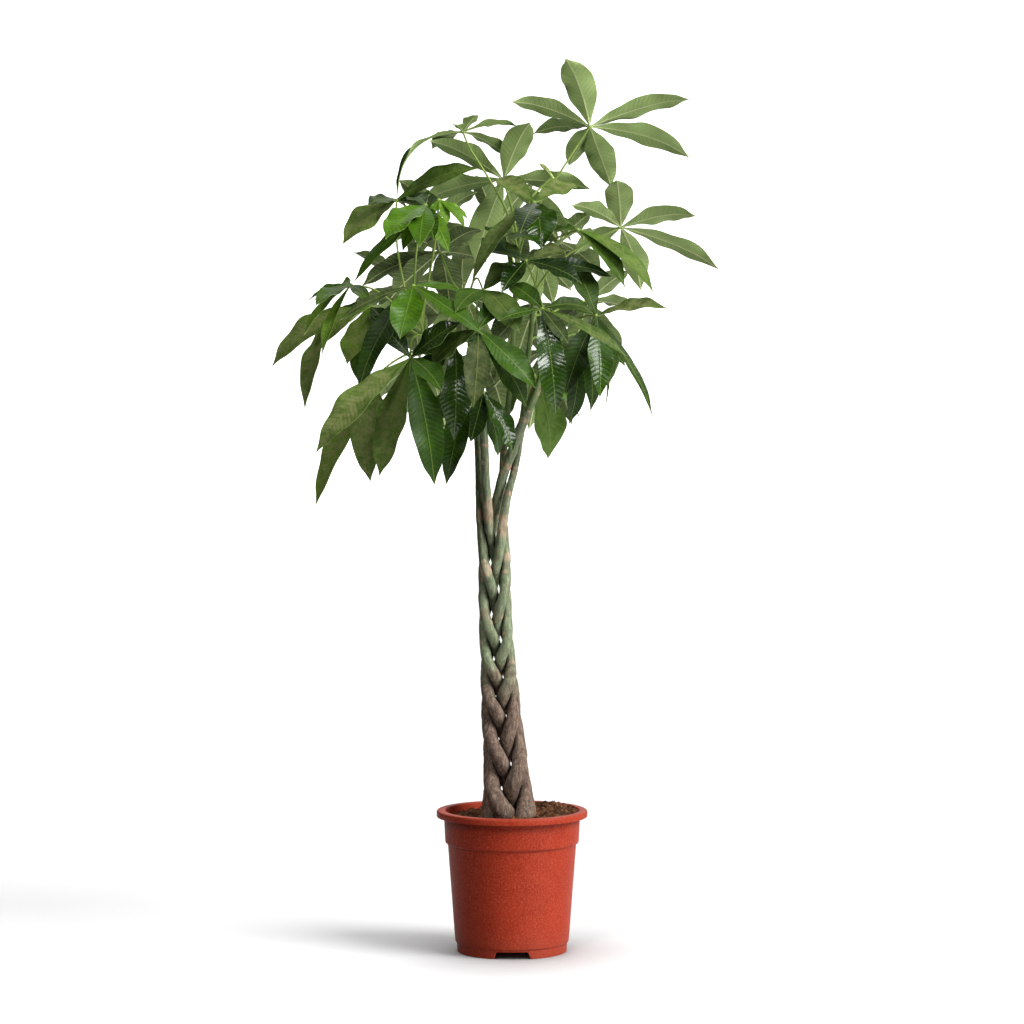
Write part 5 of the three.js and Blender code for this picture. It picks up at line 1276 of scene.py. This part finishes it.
def cuts(new):
    """How many pairs of faces of the new skin and of those that stand already cross."""
    near = [other for other in standing if (new[0] < other[1]).all() and (other[0] < new[1]).all()]
    return sum(len(new[2].overlap(other[2])) for other in near)


def fitted_blade(leaf, number, tip, chance):
    """The first form of the leaflet that cuts nothing, or else the one that cuts least, and its cuts."""
    tried = []
    for lively, bow in FORMS:
        blade = blade_skin(leaf, number, tip, chance, lively, bow)
        new = stand(blade[0], leaf.hub)
        tried.append((cuts(new), len(tried), blade, new))
        if not tried[-1][0]:
            break
    crossings, form, blade, new = min(tried, key=lambda one: one[:2])
    standing.append(new)
    return blade, form, crossings


# %% Leaves
stalks = [stalk_skin(leaf) for leaf in LEAVES]
standing = [stand(stalk, leaf.hub) for stalk, leaf in zip(stalks, LEAVES)]
bends, calmed, cutting = [], 0, 0
for leaf, stalk in zip(LEAVES, stalks):
    draw = np.random.default_rng(100 + leaf.number)
    tips, bend = tips_of(leaf)
    bends.append(bend)
    blades, forms, crossings = zip(*[fitted_blade(leaf, number, tip, draw.uniform(-1, 1, 11))
                                     for number, tip in enumerate(tips)])
    calmed += np.count_nonzero(forms)
    cutting += np.count_nonzero(crossings)
    skins, uvs, growths = zip(*blades)
    whole = join_skins([*skins, stalk])
    fans = sum(len(skin[2]) for skin in skins)
    face_finish = np.concatenate([*[BLADE_SIDES] * len(skins), np.full(len(stalk[1]), STALK),
                                  np.full(fans, UNDERSIDE), np.full(len(stalk[2]), STALK)])
    uv = np.vstack([*uvs, np.zeros((len(stalk[0]), 2))])
    growth = np.vstack([*growths, np.full((len(stalk[0]), 4), 0.5)])
    node = f"leaf_{leaf.number:02d}"
    piece = make_piece(f"{node}_blades", whole, [leaf_top, leaf_under, stalk_green], [node],
                       face_finish.astype(np.int32), {"growth": growth}, uv)
    piece.data.set_sharp_from_angle(angle=math.radians(60))
print(f"Leaflets are bent by up to {max(bends):.0f} mm to clear each other.")
print(f"Leaflets that wave less or are bowed to clear their neighbours: {calmed}. Still cutting: {cutting}.")

# %% [markdown]
# ## Floor, light and camera
#
# The plant stands on a plain pale floor inside a round backdrop that curves up from it, so no corner shows
# from any side. Shade is painted into the floor where the pot or the crown shelters it from the sky. A broad
# lamp above and to the right gives soft shadows, and weaker ones and a pale sky fill them. The camera is far
# away with a long lens, level with the foot of the crown and tipped down a little, as the photograph sees the
# plant.

# %% Floor
FLOOR_RADIUS, BEND_RADIUS, WALL_TOP, WALL_LIT_Z = 7000, 2500, 7000, 400
STAGE_SEGMENTS, BEND_STEPS = 96, 24
FLOOR_GLOW = 0.2  # a lit table, so that the floor is nearly white though the plant isn't overlit
SHELTER_REACH = 0.16  # metres


def floor_finish():
    """White, with painted shade where something shelters it from the sky, and lit from within more towards
    the wall.
    """
    finish = Finish("pale_floor", Roughness=0.9, Specular_IOR_Level=0.1, Emission_Color=(1, 1, 1))
    place = finish.object_place()
    glow = finish.spread(finish.height(place), FLOOR_GLOW, 1, WALL_LIT_Z * MM)
    # painted shade: ambient occlusion darkens the floor's colour and glow near the pot and under the crown
    shelter = finish.node("ShaderNodeAmbientOcclusion", "AO", {"samples": 2}, Distance=SHELTER_REACH)
    open_to_sky = finish.maths("POWER", shelter, 1.25)
    pale = finish.blend(finish.noise(place, 1.5, 2), (0.86, 0.86, 0.86), (0.88, 0.88, 0.88))
    finish.relief((finish.noise(place, 300, 2), 0.05))
    return finish.done(Base_Color=finish.blend(open_to_sky, (0, 0, 0), pale),
                       Emission_Strength=finish.times(open_to_sky, glow))


def make_stage(name, profile, finish, shines_back):
    """A round sheet: the profile of radii and heights turned about the upright axis."""
    rings = turned(np.array(profile, dtype=float), STAGE_SEGMENTS)
    mesh = bpy.data.meshes.new(name)
    mesh.from_pydata(rings.reshape(-1, 3) * MM, [], closed_skin(rings)[1])
    mesh.materials.append(finish)
    mesh.shade_smooth()
    sheet = bpy.data.objects.new(name, mesh)
    bpy.context.scene.collection.objects.link(sheet)
    sheet.visible_diffuse = False  # the lamps below stand for its light, so its glow only shows
    sheet.visible_shadow = False
    sheet.visible_glossy = shines_back


pale = floor_finish()
make_stage("floor", [(FLOOR_RADIUS, 0), (0.01, 0)], pale, True)
bend = np.linspace(0, np.pi / 2, BEND_STEPS)
section = [(FLOOR_RADIUS + BEND_RADIUS * np.sin(turn), BEND_RADIUS * (1 - np.cos(turn))) for turn in bend]
make_stage("backdrop", [(FLOOR_RADIUS + BEND_RADIUS, WALL_TOP)] + section[::-1], pale, False)

# %% Light
# Each lamp: the way it shines from, its strength and how wide it is in degrees. The key gives the shadows,
# the window the highlights at the left, and the floor's bounce lights the undersides of the leaves.
LAMPS = {
    "key": ((0.68, -0.40, 0.62), 3.35, 34),
    "ceiling": ((0.05, -0.30, 0.95), 0.35, 60),
    "floor_bounce": ((0.75, -0.45, -0.50), 1.65, 60),
    "window": ((-0.26, -0.71, 0.65), 0.65, 12),
    "rear": ((0.15, 0.80, 0.58), 0.9, 60),
}
SKY_STRENGTH = 0.035


def add_lamp(name, shines_from, strength, width):
    """A lamp as far away as the sun, but wide, so its shadows are soft and its light doesn't fall off."""
    light = bpy.data.lights.new(name, "SUN")
    light.energy = strength
    light.angle = math.radians(width)
    lamp = bpy.data.objects.new(name, light)
    lamp.rotation_euler = Vector(shines_from).to_track_quat("Z", "Y").to_euler()
    bpy.context.scene.collection.objects.link(lamp)


def add_sky():
    """An even white sky."""
    sky = bpy.data.worlds.new("sky")
    sky.use_nodes = True
    background = sky.node_tree.nodes["Background"]
    background.inputs["Color"].default_value = (1, 1, 1, 1)
    background.inputs["Strength"].default_value = SKY_STRENGTH
    bpy.context.scene.world = sky


for name, (shines_from, strength, width) in LAMPS.items():
    add_lamp(name, shines_from, strength, width)
add_sky()
bpy.context.scene.view_settings.view_transform = "Standard"

# %% Camera
CAMERA_DISTANCE, CAMERA_HEIGHT = 4.6, 0.807
CAMERA_DOWN = math.radians(2.475)
LENS, SENSOR = 117.4, 36

camera = bpy.data.objects.new("camera", bpy.data.cameras.new("camera"))
camera.data.lens = LENS
camera.data.sensor_width = SENSOR
camera.location = (POT_AXIS[0], -CAMERA_DISTANCE, CAMERA_HEIGHT)
camera.rotation_euler = (math.pi / 2 - CAMERA_DOWN, 0, 0)
bpy.context.scene.collection.objects.link(camera)
bpy.context.scene.camera = camera
